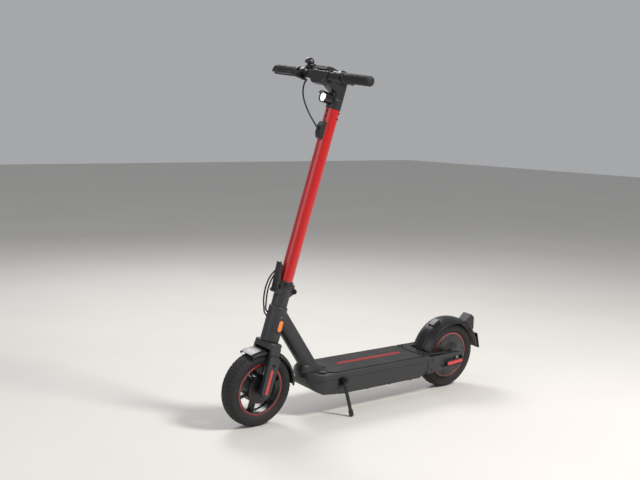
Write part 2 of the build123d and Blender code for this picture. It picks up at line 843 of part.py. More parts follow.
def rear_fender():
    """The guard over the rear wheel, with a raised, grooved spine in front."""
    shell = arched(fender_section(rear_fender_radius, rear_fender_wall, rear_fender_half_width), 8, 168)
    spine = arched(
        polygon(
            (rear_fender_radius - 4, -spine_half_width),
            (spine_radius, 4 - spine_half_width),
            (spine_radius, spine_half_width - 4),
            (rear_fender_radius - 4, spine_half_width),
        ),
        8,
        52,
    )
    for y in (-10, 0, 10):
        spine -= arched(polygon((spine_radius - 1.5, y - 2), (spine_radius + 1, y - 2), (spine_radius + 1, y + 2),
                                (spine_radius - 1.5, y + 2)), 14, 46)
    guard = Pos(*rear_axle) * (shell + spine)
    guard -= block(0, 200, -90, 90, 0, deck_top + mount_plate_thickness)
    return guard


def fender_mount():
    """The flat fork-shaped plate that carries the fender over the arms."""
    plate = block(66, mat_rear - 4, -68, 68, deck_top, deck_top + mount_plate_thickness)
    plate -= block(0, deck_rear - 12, -40, 40, 100, 200)
    for x, y in mount_bolt_places():
        plate -= along_z(2.2, 100, 200, x=x, y=y)
    return plate


def mount_bolt_places():
    return [(deck_rear + 12, y) for y in (-55, 55)]


def fender_bolts():
    bolts = []
    top = deck_top + mount_plate_thickness
    for x, y in mount_bolt_places():
        bolts.append(along_z(2, deck_top + 0.2, top, x=x, y=y) + along_z(4, top + 0.1, top + 2.2, x=x, y=y))
    return bolts


def hook_tongue(grow):
    """The tongue on the back of the stem head, in the steering frame."""
    back = stem_radius + 2
    top = 1018.0
    return block(-back - 30 - grow, -back + 2, -6 - grow, 6 + grow, top - 5 - grow, top + 5 + grow)


def folded(piece):
    """A piece of the stem, moved from the steering frame to its folded place."""
    pivot = upright(pin_centre)
    placed = steering_frame.location * piece
    return placed.rotate(Axis((pivot.X, pivot.Y, pivot.Z), (0, 1, 0)), -fold_angle)


def fender_catch():
    """The block on the fender that the stem's tongue enters when the scooter is folded."""
    section = polygon((rear_fender_radius + seam, -15), (rear_fender_radius + seam, 15), (catch_radius, 12),
                      (catch_radius, -12))
    catch = Pos(*rear_axle) * arched(section, 52.3, 66)
    return catch - folded(hook_tongue(2.5))


def tail_light_housing():
    """The wedge on the fender's tail that holds the rear light."""
    wedge = polygon((-70, 238), (-104, 269), (-122, 256), (-126, 212), (-118, 196))
    body = side_plate(wedge, -19, 19)
    body = fillet(body.edges().filter_by(Axis.Y).sort_by(Axis.Z)[-2:], 4)
    body -= Pos(*rear_axle) * along_y(rear_fender_radius + seam, -40, 40)
    return body


def tail_light():
    """The red lens on the wedge's rear face."""
    face = polygon((-122.7, 252), (-126.1, 215), (-129, 216), (-126, 252))
    return side_plate(face, -16, 16)


def tail_flap():
    """The plate below the rear light, which carries the rear reflector."""
    face = polygon((-137, 192), (-140, 194), (-160, 136), (-156, 134))
    flap = side_plate(face, -30, 30)
    foot = side_plate(polygon((-128, 172), (-142, 180), (-150, 160), (-132, 158)), -12, 12)
    body = flap + foot
    return body - Pos(*rear_axle) * along_y(rear_fender_radius + 0.1, -60, 60)


def rear_reflector():
    face = polygon((-142.8, 187), (-145.4, 186.4), (-157.6, 151.4), (-155, 151.6))
    return side_plate(face, -22, 22)


# ================================================================= folding joint and stem
def folding_base():
    """The block on top of the steerer: hinge ears behind, lever lugs in front."""
    low = head_tube_top + seam
    body = along_z(base_radius, low, base_top)
    body = fillet(body.faces().sort_by(Axis.Z)[0].edges(), 2)
    ears = along_y(knuckle_radius, -knuckle_half_width, knuckle_half_width, x=-pin_back, z=pin_height)
    ears += side_plate(
        polygon((-pin_back, pin_height - knuckle_radius), (-pin_back, pin_height + knuckle_radius),
                (-10, base_top), (-10, pin_height - 30)),
        -knuckle_half_width, knuckle_half_width,
    )
    lugs = []
    for sign in (-1, 1):
        y0, y1 = sorted((sign * (lever_half_width + seam), sign * (lever_half_width + 5)))
        lug = along_y(7, y0, y1, x=lever_pivot_forward, z=lever_pivot_height)
        lug += block(12, lever_pivot_forward, y0, y1, lever_pivot_height - 7, lever_pivot_height + 7)
        lugs.append(lug)
    body += ears
    for lug in lugs:
        body += lug
    body -= along_y(knuckle_radius + 0.7, -10, 10, x=-pin_back, z=pin_height)
    body -= block(-60, -pin_back + 2, -10, 10, pin_height - 20, base_top + 20)
    body -= block(-pin_back, -14, -10, 10, pin_height, base_top + 20)
    body -= along_z(steerer_radius + fit, low - 1, base_top - 40 + seam)
    body -= along_z(steerer_bore, low - 1, base_top + 1)
    body -= along_y(pin_radius + fit, -40, 40, x=-pin_back, z=pin_height)
    body -= along_y(lever_pin_radius + fit, -40, 40, x=lever_pivot_forward, z=lever_pivot_height)
    body -= block(24, 60, -lever_half_width - seam, lever_half_width + seam, lever_pivot_height - 16, base_top + 1)
    return body


def hinge_pin():
    pin = along_y(pin_radius, -knuckle_half_width - 1, knuckle_half_width + 1, x=-pin_back, z=pin_height)
    heads = [
        along_y(7.5, knuckle_half_width + 0.1, knuckle_half_width + 4, x=-pin_back, z=pin_height),
        along_y(7.5, -knuckle_half_width - 4, -knuckle_half_width - 0.1, x=-pin_back, z=pin_height),
    ]
    return pin + heads[0] + heads[1]


def lever_pin():
    half = lever_half_width + 5
    return along_y(lever_pin_radius, -half, half, x=lever_pivot_forward, z=lever_pivot_height)


def stem_socket():
    """The stem's lower casting: hinge tongue, collar with a catch lip, and a spigot in the tube."""
    low = base_top + 0.5
    body = along_z(socket_radius, low, socket_top)
    body = fillet(body.faces().sort_by(Axis.Z)[-1].edges(), 2)
    body += along_z(stem_radius - stem_wall - fit, low, socket_top + 50)
    lip = block(18, socket_radius + 4, -8, 8, low, low + 5)
    tongue = along_y(knuckle_radius, -9.5, 9.5, x=-pin_back, z=pin_height)
    tongue += side_plate(
        polygon((-pin_back - knuckle_radius, pin_height), (-pin_back + 8, pin_height), (-16, low + 1),
                (-16, low + 10), (-pin_back - 2, low + 10)),
        -9.5, 9.5,
    )
    body += lip + tongue
    body -= along_z(12, low - 1, socket_top + 60)
    return body - along_y(pin_radius + fit, -40, 40, x=-pin_back, z=pin_height)


def socket_bolts():
    """Two clamp bolts in the collar's left side."""
    bolts = []
    for angle in (60, 105):
        head = Rot(0, 90, 0) * along_z(3, socket_radius + 0.1, socket_radius + 2)
        bolts.append(Rot(0, 0, angle) * Pos(0, 0, (base_top + socket_top) / 2) * head)
    return bolts


def fold_lever():
    """The locking lever: it stands in front of the stem and hooks over the collar's lip."""
    rear = socket_radius + 0.6
    pivot_x = lever_pivot_forward
    pivot_z = lever_pivot_height
    side = polygon(
        (rear, pivot_z),
        (pivot_x, pivot_z - 7),
        (40, pivot_z),
        (42, pivot_z + 35),
        (50, lever_tip_height - 3),
        (44, lever_tip_height),
        (35, lever_tip_height - 18),
        (33, pivot_z + 42),
        (rear, pivot_z + 32),
        (rear, base_top + 6.2),
        (34, base_top + 6),
        (34, base_top - 4),
        (rear, base_top - 5),
    ) + Pos(pivot_x, pivot_z) * Circle(6.5)
    front = polygon(
        (-lever_half_width, pivot_z - 8), (lever_half_width, pivot_z - 8), (lever_half_width, pivot_z + 50),
        (7, lever_tip_height + 1), (-7, lever_tip_height + 1), (-lever_half_width, pivot_z + 50)
    )
    width = extrude(Plane((60, 0, 0), x_dir=(0, 1, 0), z_dir=(1, 0, 0)) * front, -60)
    lever = side_plate(side, -lever_half_width, lever_half_width) & width
    return lever - along_y(lever_pin_radius + fit, -40, 40, x=pivot_x, z=pivot_z)


def stem_tube():
    tube = along_z(stem_radius, socket_top, stem_top, bore=stem_radius - stem_wall)
    for shift in joint_cable_shifts:
        start, end = (10, joint_cable_y, 394.5 + shift), (40, joint_cable_y, 373.8 + shift)
        tube -= rod_between(start, end, cable_radius + seam)
    return tube


def stem_screws():
    """Three columns of button screws that hold the head in the tube."""
    screws = []
    for height in stem_screw_heights:
        for angle in (5, 125, 245):
            head = Rot(0, 90, 0) * along_z(3, stem_radius + 0.1, stem_radius + 1.8)
            screws.append(Rot(0, 0, angle) * Pos(0, 0, height) * head)
    return screws


def stem_head():
    """The head casting: a collar on the tube, a gooseneck and the wing that holds the bar."""
    back = -stem_radius - 0.5
    neck_side = polygon(
        (back, head_bottom), (-back, head_bottom), (-back, 972), (62, 990), (98, 1000), (98, 1018),
        (78, 1026), (-12, 1020), (back, 1012)
    )
    neck = side_plate(neck_side, -neck_block_half_width, neck_block_half_width)
    neck = fillet(neck.edges().filter_by(Axis.Z), 16)
    collar = along_z(stem_radius + 1.2, head_bottom, head_bottom + 30)
    wing_front = polygon(
        (-wing_half_width, bar_centre.Z + 14), (wing_half_width, bar_centre.Z + 14),
        (wing_half_width, bar_centre.Z - 12), (neck_block_half_width + 8, bar_centre.Z - 19),
        (neck_block_half_width, bar_centre.Z - 29), (-neck_block_half_width, bar_centre.Z - 29),
        (-neck_block_half_width - 8, bar_centre.Z - 19), (-wing_half_width, bar_centre.Z - 12)
    )
    wing = extrude(Plane((bar_centre.X + 17, 0, 0), x_dir=(0, 1, 0), z_dir=(1, 0, 0)) * wing_front, -36)
    wing = fillet(wing.edges().filter_by(Axis.Y), 8)
    dash_block = block(-12, 96, -head_half_width, head_half_width, 1008, 1018)
    head = neck + collar + wing + dash_block
    head -= along_z(stem_radius + fit, head_bottom - 1, stem_top)
    head -= along_y(bar_radius + fit, -100, 100, x=bar_centre.X, z=bar_centre.Z)
    head -= block(-60, 200, -60, 60, 1026, 1100)
    head += hook_tongue(0) - along_z(stem_radius, 900, 1100)
    head -= along_z(9, stem_top - 1, 990)
    head -= rod_between((0, 0, lamp_height), (stem_radius + 30, 0, lamp_height), 6)
    return head


def dash_cover():
    """The instrument housing on top of the head, its face tipped towards the rider."""
    side = polygon((-12, 1026.3), (-12, 1028), (70, 1039), (90, 1037), (96, 1026.3))
    body = side_plate(side, -head_half_width, head_half_width)
    body = fillet(body.edges().filter_by(Axis.Z), 6)
    screen = dash_screen_block(0.1)
    button = button_shape(seam, button_travel + seam)
    return body - screen - button


def dash_plane():
    """The middle of the instrument's sloping face."""
    slope = atan2(11, 82)
    return Plane((29, 0, 1033.5), x_dir=(cos(slope), 0, sin(slope)), z_dir=(-sin(slope), 0, cos(slope)))


def dash_screen_block(grow):
    screen = extrude(RectangleRounded(44 + 2 * grow, 48 + 2 * grow, 5), 2 + grow)
    return dash_plane().location * (Pos(10, 0, -1.7 - grow) * screen)


def dash_screen():
    return dash_screen_block(0)


def button_shape(grow, below):
    button = Cylinder(6 + grow, 4 + below, align=(Align.CENTER, Align.CENTER, Align.MIN))
    return dash_plane().location * (Pos(-27, 0, -2.6 - below) * button)


def power_button():
    return button_shape(0, 0)


def handlebar():
    return along_y(bar_radius, -grip_end + 3, grip_end - 3, x=bar_centre.X, z=bar_centre.Z, bore=bar_radius - 2)


def grip(start):
    """A left grip from there to the bar's end, with a flange and a closed, rounded end."""
    body = along_y(grip_radius, start, grip_end)
    body = fillet(body.faces().sort_by(Axis.Y)[-1].edges(), 6)
    body += along_y(grip_radius + 2, start, start + 3)
    body -= along_y(bar_radius + fit, start - 1, grip_end - 2.9)
    return Pos(bar_centre.X, 0, bar_centre.Z) * body


def throttle_housing():
    """The throttle's fixed ring, inside the left grip."""
    body = along_y(18, 66, 80, bore=bar_radius + fit)
    body += along_y(18, 98, 106, bore=bar_radius + fit)
    body += along_y(13.5, wing_half_width + seam, 106, bore=bar_radius + fit)
    body += block(-8, 8, 98, 106, 14, 20)
    return Pos(bar_centre.X, 0, bar_centre.Z) * body


def throttle_paddle():
    """The thumb paddle, turning on the housing."""
    body = along_y(17.5, 80 + seam, 98 - seam, bore=13.5 + seam)
    paddle = side_plate(polygon((-14, -9), (-17, 5), (-34, 3), (-40, -7), (-35, -13)), 81, 97)
    paddle -= along_y(13.5 + seam, 70, 110)
    return Pos(bar_centre.X, 0, bar_centre.Z) * (body + paddle)


def brake_perch():
    """The clamp on the bar that carries the brake lever and the cable's adjuster."""
    outer, inner = perch_place
    low, high = lever_level - lever_thickness / 2, lever_level + lever_thickness / 2
    middle = (outer + inner) / 2
    body = along_y(16.5, outer, inner)
    for z0, z1 in ((low - seam - 3.5, low - seam), (high + seam, high + seam + 3.5)):
        body += block(0, lever_pivot_reach, outer, inner, z0, z1)
        body += along_z(9, z0, z1, x=lever_pivot_reach, y=middle)
    body -= along_z(3 + fit, -40, 40, x=lever_pivot_reach, y=middle)
    body += rod_between((9, inner - 7, -14), (10, inner + 8, -21), 4.5)
    body += rod_between((10, inner + 8, -21), cable_start, 3.5)
    body -= along_y(bar_radius + fit, -110, -40)
    body -= Pos(*cable_start) * Sphere(cable_radius + 0.6)
    body -= rod_between(cable_start, cable_start + cable_way, cable_radius + seam)
    return Pos(bar_centre.X, 0, bar_centre.Z) * body


def perch_pin():
    half = lever_thickness / 2 + 4.3
    middle = sum(perch_place) / 2
    pin = along_z(3, lever_level - half, lever_level + half, x=lever_pivot_reach, y=middle)
    return Pos(bar_centre.X, 0, bar_centre.Z) * pin


def brake_lever():
    """The curved blade in front of the right grip."""
    start = perch_place[1]
    near = lever_pivot_reach - 7
    far = lever_pivot_reach + 7
    blade = make_face(
        Polyline((near, start), (far, start), (far, start - 20))
        + ThreePointArc((far, start - 20), (far - 3, start - 65), (far + 4, start - 108))
        + ThreePointArc((far + 4, start - 108), (far, start - 112), (far - 6, start - 108))
        + ThreePointArc((far - 6, start - 108), (near, start - 65), (near + 3, start - 22))
        + Polyline((near + 3, start - 22), (near, start - 14), (near, start))
    )
    lever = Pos(0, 0, lever_level - lever_thickness / 2) * extrude(blade, lever_thickness)
    lever -= along_z(3 + fit, -40, 40, x=lever_pivot_reach, y=sum(perch_place) / 2)
    return Pos(bar_centre.X, 0, bar_centre.Z) * lever


def bell_clamp():
    body = along_y(14, -78, -56)
    body += along_z(6, 8, 34, y=bell_y) + block(-9, 9, bell_y - 4, -50, 16, 22)
    body -= along_y(bar_radius + fit, -110, -40)
    body -= along_z(2 + fit, 10, 30, x=5, y=-53)
    return Pos(bar_centre.X, 0, bar_centre.Z) * body


def bell():
    """The dome of the bell, open below."""
    dome = Pos(0, 0, 3) * Sphere(bell_radius) - Pos(0, 0, 3) * Sphere(bell_radius - 2)
    dome -= block(-30, 30, -30, 30, -30, 0)
    dome += along_z(4, 2, bell_radius + 2)
    return Pos(bar_centre.X, bell_y, bar_centre.Z + 32.3) * dome


def bell_striker():
    """The sprung thumb lever beside the bell."""
    pin = along_z(2, 17.5, 27, x=5, y=-53)
    arm = block(1, 9, -57, -38, 22.3, 26.5)
    knob = along_z(4, 22.3, 30, x=5, y=-38)
    return Pos(bar_centre.X, 0, bar_centre.Z) * (pin + arm + knob)


def headlight_housing():
    """The hooded lamp body on the gooseneck's front."""
    front = stem_radius + 32
    body = Pos(0, 0, lamp_height) * (Rot(0, 90, 0) * along_z(lamp_radius + 3, stem_radius + 1.5, front))
    hood = Pos(0, 0, lamp_height) * (Rot(0, 90, 0) * along_z(lamp_radius + 3, front - 1, front + 8))
    hood &= block(0, 100, -40, 40, lamp_height + 9, lamp_height + 40)
    body += hood
    body -= Pos(0, 0, lamp_height) * (Rot(0, 90, 0) * along_z(lamp_radius + fit, stem_radius + 12, front + 10))
    body -= along_z(stem_radius + 1.2 + seam, 900, 1000)
    body -= block(-40, stem_radius + 1.5 + seam, -40, 40, 900, 1000)
    return body


def headlight_lens():
    start = stem_radius + 24
    lens = Rot(0, 90, 0) * along_z(lamp_radius, start, start + 6)
    lens = fillet(lens.faces().sort_by(Axis.X)[-1].edges(), 3)
    return Pos(0, 0, lamp_height) * lens


def headlight_led():
    start = stem_radius + 12
    board = Rot(0, 90, 0) * along_z(lamp_radius - 2, start + 0.1, start + 2)
    emitter = Rot(0, 90, 0) * along_z(5, start + 2, start + 5)
    return Pos(0, 0, lamp_height) * (board + emitter)


def cable_guide():
    """The small housing on the tube's front where the brake cable goes in."""
    front = stem_radius + 15
    side = polygon((stem_radius - 6, 816), (front - 6, 822), (front, 836), (front, 858), (front - 8, 874),
                   (stem_radius - 6, 876))
    body = side_plate(side, -12, 12)
    body = fillet(body.edges().filter_by(Axis.Y, reverse=True).sort_by(Axis.X)[-4:], 3)
    body -= along_z(stem_radius + 0.1, 800, 900)
    return body - rod_between(bar_centre + Vector(-14, 1, -137), bar_centre + Vector(-47, 0, -164), cable_radius + seam)


def cable(points, radius):
    """A cable along straight runs joined by tangent arcs, each as large as its runs allow."""
    vectors = [Vector(point) for point in points]
    radii = []
    for before, corner, after in zip(vectors, vectors[1:], vectors[2:]):
        turn = radians((corner - before).get_angle(after - corner))
        shorter = min((corner - before).length, (after - corner).length)
        radii.append(0.45 * shorter * cos(turn / 2) / sin(turn / 2))
    path = FilletPolyline(*vectors, radius=radii)
    section = Plane(vectors[0], z_dir=vectors[1] - vectors[0]) * Circle(radius)
    solid = sweep(section, path)
    print("cable: length %.0f, radii %s" % (path.length, [round(value) for value in radii]))
    print("   volume over section times length: %.4f" % (solid.volume / (section.area * path.length)))
    return solid


def brake_cable():
    """From the lever's adjuster, bulging forward, down into the guide on the tube."""
    bar = bar_centre
    points = [
        bar + cable_start,
        bar + cable_start + cable_way,
        bar + Vector(20, -44, -58),
        bar + Vector(18, -33, -82),
        bar + Vector(8, -20, -107),
        bar + Vector(-9, -9, -131),
        bar + Vector(-30, -2, -150),
        bar + Vector(-46, 0, -163),
    ]
    return cable(points, cable_radius)


def joint_cable(bow, spread, shift):
    """A cable that leaves the stem tube and goes into the head tube, past the folding joint."""
    y = joint_cable_y
    points = [
        (16.5, y, 390 + shift),
        (31, y - bow / 3, 380 + shift),
        (45 + spread, y - bow, 358),
        (51 + spread, y - bow, 330),
        (50 + spread, y - bow, 302),
        (44 + spread, y - bow, 276),
        (36, y - bow / 3, 252 - shift),
        (23, y, 243 - shift),
    ]
    return cable(points, cable_radius)


# ================================================================= kickstand
def stand_bracket():
    """The lug bolted to the tub's left side, just under the lip."""
    pivot = stand_pivot
    body = block(pivot.X - 16, pivot.X + 16, tub_half_width + 0.1, tub_half_width + 4, 112, 136.5)
    for x in (pivot.X - 12, pivot.X + 12):
        body -= along_y(3 + fit, tub_half_width + 1.5, tub_half_width + 5, x=x, z=117)
    post = along_y(6, tub_half_width, pivot.Y + 7, x=pivot.X, z=pivot.Z)
    return body + post


def stand_bolts():
    bolts = []
    for x in (stand_pivot.X - 12, stand_pivot.X + 12):
        bolts.append(along_y(3, tub_half_width + 1.6, tub_half_width + 3.9, x=x, z=117))
    return bolts


def kickstand():
    """The leg, from a sleeve on the bracket's post down to its rubber foot."""
    pivot = stand_pivot
    sleeve = along_y(10, pivot.Y - 4, pivot.Y + 6, x=pivot.X, z=pivot.Z, bore=6 + fit)
    knee = Vector(pivot.X - 2, pivot.Y + 6, pivot.Z - 24)
    upper = rod_between((pivot.X, pivot.Y + 1, pivot.Z - 7), knee, stand_leg_radius)
    lower = rod_between(knee, stand_foot + (knee - stand_foot).normalized() * 14, stand_leg_radius)
    joint = Pos(*knee) * Sphere(stand_leg_radius)
    leg = upper + joint + lower + sleeve
    leg -= along_y(6 + fit, pivot.Y - 20, pivot.Y + 20, x=pivot.X, z=pivot.Z)
    leg -= along_y(8 + seam, pivot.Y + 6.7, pivot.Y + 20, x=pivot.X, z=pivot.Z)
    return leg - block(pivot.X - 60, pivot.X + 60, 0, tub_half_width + 4.2, 0, 200)


def kickstand_foot():
    knee = Vector(stand_pivot.X - 2, stand_pivot.Y + 6, stand_pivot.Z - 24)
    top = stand_foot + (knee - stand_foot).normalized() * 14
    return Pos(*stand_foot) * Sphere(stand_foot_radius) + rod_between(stand_foot, top, stand_foot_radius)


def stand_screw():
    """The pivot screw that keeps the leg on its post."""
    y = stand_pivot.Y + 7
    return along_y(8, y, y + 2.5, x=stand_pivot.X, z=stand_pivot.Z)


# ================================================================= the whole scooter
def in_steering_frame(pieces):
    return [steering_frame.location * piece for piece in pieces]


def at_rear_axle(pieces):
    return [Pos(*rear_axle) * piece for piece in pieces]


def build_upright():
    """Every node of the upright scooter, as name: list of shapes."""
    rim_inner = rim_radius - rim_depth
    rim_valve = Rot(0, 60 / spoke_count + 30, 0) * valve(rim_inner)
    right_grip = mirror(grip(right_grip_start), Plane.XZ)
    steering_nodes = {
        "front_tyre": [tyre()],
        "front_rim": [front_rim(), rim_valve],
        "front_rim_tape": rim_tape(),
        "front_bearings": front_bearings() + [brake_drum_liner()],
        "drum_brake": [brake_plate(), brake_shoe(1), brake_shoe(-1)],
        "brake_arm": [brake_arm()],
        "front_axle": front_axle_pieces(),
        "fork": [fork()],
        "leg_covers": both_sides(leg_cover()),
        "leg_reflectors": both_sides(leg_reflector()),
        "front_fender": [front_fender()],
        "headset_bearings": headset_bearings(),
        "folding_base": [folding_base()],
        "hinge_pins": [hinge_pin(), lever_pin()],
        "fold_lever": [fold_lever()],
        "stem_socket": [stem_socket()],
        "stem_tube": [stem_tube()],
        "stem_screws": socket_bolts() + stem_screws(),
        "stem_head": [stem_head()],
        "dash_cover": [dash_cover()],
        "dash_screen": [dash_screen()],
        "power_button": [power_button()],
        "handlebar": [handlebar()],
        "grips": [grip(left_grip_start), right_grip],
        "throttle_paddle": [throttle_paddle()],
        "bar_clamps": [brake_perch(), perch_pin(), bell_clamp(), throttle_housing()],
        "brake_lever": [brake_lever()],
        "bell": [bell()],
        "bell_striker": [bell_striker()],
        "headlight_housing": [headlight_housing(), headlight_led()],
        "headlight_lens": [headlight_lens()],
        "cable_guide": [cable_guide()],
        "brake_cable": [brake_cable()],
        "joint_cables": [joint_cable(0.5, -3, joint_cable_shifts[0]), joint_cable(6, 4, joint_cable_shifts[1])],
    }
    rear_nodes = {
        "rear_tyre": [tyre()],
        "rear_rim_tape": rim_tape(),
        "motor_hub": [motor_hub(), motor_side_cover()] + motor_cover_screws(),
        "motor_magnets": motor_magnets(),
        "motor_stator": [motor_stator()],
        "motor_axle": [motor_axle()] + axle_nuts(arm_outer, 9.5, motor_axle_radius, 5),
        "motor_bearings": motor_bearings(),
    }
    frame_nodes = {
        "frame_neck": [frame_neck()],
        "head_reflectors": head_reflectors(),
        "deck_frame": [deck_frame()] + both_sides(rear_arm()),
        "battery_cover": [battery_cover()],
        "frame_screws": cover_screws() + arm_cover_screws() + fender_bolts() + stand_bolts(),
        "battery_case": [battery_case()],
        "battery_cells": battery_cells(),
        "controller": [controller()],
        "charge_port": [charge_port()],
        "charge_cap": [charge_cap()],
        "deck_mat": [deck_mat()],
        "deck_stripe": [deck_stripe()],
        "arm_covers": both_sides(arm_cover()),
        "red_reflectors": both_sides(arm_reflector()) + [rear_reflector()],
        "rear_fender": [rear_fender(), fender_mount(), fender_catch()],
        "tail_light_housing": [tail_light_housing(), tail_flap()],
        "tail_light": [tail_light()],
        "stand_bracket": [stand_bracket(), stand_screw()],
        "kickstand": [kickstand(), kickstand_foot()],
    }
    nodes = {name: in_steering_frame(pieces) for name, pieces in steering_nodes.items()}
    nodes.update({name: at_rear_axle(pieces) for name, pieces in rear_nodes.items()})
    nodes.update(frame_nodes)
    return nodes


def lean_angle():
    """How far the scooter tips to the left before its kickstand's foot is on the ground."""
    across = stand_foot.Y
    up = stand_foot.Z - tread_arc_radius
    return degrees(acos((stand_foot_radius - tread_arc_radius) / hypot(across, up)) - atan2(across, up))


def park(nodes):
    """The place of the upright scooter in the final frame: tipped, on the ground and centred."""
    tip = Rot(-lean_angle(), 0, 0)
    tipped = Compound(children=[tip * piece for pieces in nodes.values() for piece in pieces])
    box = tipped.bounding_box()
    middle = box.center()
    return Pos(-middle.X, -middle.Y, -box.min.Z) * tip


def main():
    os.makedirs("parts", exist_ok=True)
    nodes = build_upright()
    place = park(nodes)
    for name, pieces in nodes.items():
        solids = [solid for piece in pieces for solid in (place * piece).solids()]
        export_step(solids[0] if len(solids) == 1 else Compound(children=solids), f"parts/{name}.step")
    print("lean %.2f degrees, %d nodes" % (lean_angle(), len(nodes)))


if __name__ == "__main__":
    main()
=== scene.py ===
# %% [markdown]
# # An electric kick scooter, dressed for its portrait
# The shapes and the joints come ready-made from CAD. This lesson adds what CAD leaves out: tread on
# the tyres, ribs on the grips, soft edges on the castings, and a believable surface on every piece.
# The first cell loads the frame. Every later measure is read from it.

# %% Load the frame
import json
from math import cos, hypot, pi, radians, sin

import bmesh
import bpy
from mathutils import Matrix, Vector


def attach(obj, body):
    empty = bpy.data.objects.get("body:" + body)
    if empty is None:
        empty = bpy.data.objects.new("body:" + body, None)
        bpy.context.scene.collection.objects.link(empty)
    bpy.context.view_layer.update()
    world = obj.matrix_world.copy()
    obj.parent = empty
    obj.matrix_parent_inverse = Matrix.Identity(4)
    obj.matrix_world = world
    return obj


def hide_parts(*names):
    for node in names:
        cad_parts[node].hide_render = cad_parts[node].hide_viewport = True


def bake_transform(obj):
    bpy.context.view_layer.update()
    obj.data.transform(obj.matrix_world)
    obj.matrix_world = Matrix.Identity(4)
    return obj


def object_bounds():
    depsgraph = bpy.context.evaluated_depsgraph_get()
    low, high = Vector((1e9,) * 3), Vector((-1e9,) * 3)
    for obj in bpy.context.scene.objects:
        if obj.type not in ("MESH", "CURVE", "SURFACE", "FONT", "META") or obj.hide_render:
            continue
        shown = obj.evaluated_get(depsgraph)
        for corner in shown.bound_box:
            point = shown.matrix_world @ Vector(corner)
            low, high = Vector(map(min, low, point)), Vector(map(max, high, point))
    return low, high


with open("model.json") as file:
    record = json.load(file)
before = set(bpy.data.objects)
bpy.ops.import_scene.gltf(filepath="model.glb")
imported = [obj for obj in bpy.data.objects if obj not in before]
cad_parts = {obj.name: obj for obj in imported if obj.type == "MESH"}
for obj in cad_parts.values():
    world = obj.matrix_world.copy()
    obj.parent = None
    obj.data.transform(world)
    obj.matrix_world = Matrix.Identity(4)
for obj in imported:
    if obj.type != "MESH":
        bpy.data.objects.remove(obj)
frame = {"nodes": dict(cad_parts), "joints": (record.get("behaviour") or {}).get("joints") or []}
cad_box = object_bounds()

MM = 0.001
nodes = frame["nodes"]
joints = {joint["name"]: joint for joint in frame["joints"]}
print("CAD box", [tuple(round(v, 3) for v in corner) for corner in cad_box])

# %% [markdown]
# The scooter leans on its kickstand and its steering axis leans back, so few pieces line up with the
# world's axes. Two small frames make them easy to think about. One stands at each wheel: X forward,
# Y along the axle, Z up. The third follows the steering axis. All three come from the joints.

# %% Frames of reference
def joint_frame(origin, left, up):
    """A matrix whose X points forward, Y to the left along the axle and Z up."""
    left = Vector(left).normalized()
    forward = left.cross(Vector(up)).normalized()
    up = forward.cross(left).normalized()
    turn = Matrix((forward, left, up)).transposed().to_4x4()
    return Matrix.Translation(Vector(origin)) @ turn


axle_way = joints["front_wheel_spin"]["axis"]
front_hub = Vector(joints["front_wheel_spin"]["pos_m"])
rear_hub = Vector(joints["rear_wheel_spin"]["pos_m"])
upright = (0, -axle_way[2], axle_way[1])
front_frame = joint_frame(front_hub, axle_way, upright)
rear_frame = joint_frame(rear_hub, axle_way, upright)
steer_frame = joint_frame(front_hub, axle_way, joints["steering"]["axis"])


def local_box(node, place):
    """Lowest and highest corners of a CAD node, measured along a frame's own axes."""
    inverse = place.inverted()
    points = [inverse @ v.co for v in nodes[node].data.vertices]
    low = Vector(min(p[i] for p in points) for i in range(3))
    high = Vector(max(p[i] for p in points) for i in range(3))
    return low, high


print("wheelbase %.3f m" % (front_hub - rear_hub).length)

# %% [markdown]
# The camera stands ahead of the scooter and to its left, a little under the height of the bar, with
# a lens slightly longer than normal. Its place is counted from the front hub, and it is turned by a
# heading, a tilt down and a small roll.

# %% Camera
eye_from_hub = Vector((1.905, 2.568, 0.879))
heading, tilt, roll = radians(-129.99), radians(-7.09), radians(1.61)
ahead = Vector((cos(tilt) * cos(heading), cos(tilt) * sin(heading), sin(tilt)))
right = ahead.cross(Vector((0, 0, 1))).normalized()
above = right.cross(ahead)
rolled_right = cos(roll) * right + sin(roll) * above
rolled_above = cos(roll) * above - sin(roll) * right
camera_data = bpy.data.cameras.new("camera")
camera_data.sensor_width = 36.0
camera_data.lens = 57.55
camera = bpy.data.objects.new("camera", camera_data)
turn = Matrix((rolled_right, rolled_above, -ahead)).transposed().to_4x4()
camera.matrix_world = Matrix.Translation(front_hub + eye_from_hub) @ turn
bpy.context.scene.collection.objects.link(camera)
bpy.context.scene.camera = camera
print("camera at", [round(v, 2) for v in camera.location])

# %% [markdown]
# Shader graphs read like sums here. `Wire` wraps one output socket, and its operators add the Math
# nodes, so `1 - mask * 0.5` is written as it is thought. Colours never pass through Math, which would
# turn them grey: they go through `blend`. `Finish` starts a material with its shader, and its `node`
# method makes any other node from a type, its settings, and its inputs.

# %% Shader helpers
class Wire:
    """One value flowing out of a node, with arithmetic."""

    def __init__(self, finish, socket):
        self.finish = finish
        self.socket = socket

    def _math(self, operation, first, second):
        return self.finish.node("ShaderNodeMath", {"operation": operation}, {0: first, 1: second})

    def __add__(self, other):
        return self._math("ADD", self, other)

    def __radd__(self, other):
        return self._math("ADD", other, self)

    def __sub__(self, other):
        return self._math("SUBTRACT", self, other)

    def __rsub__(self, other):
        return self._math("SUBTRACT", other, self)

    def __mul__(self, other):
        return self._math("MULTIPLY", self, other)

    def __rmul__(self, other):
        return self._math("MULTIPLY", other, self)

    def wave(self):
        return self._math("SINE", self, 0.0)


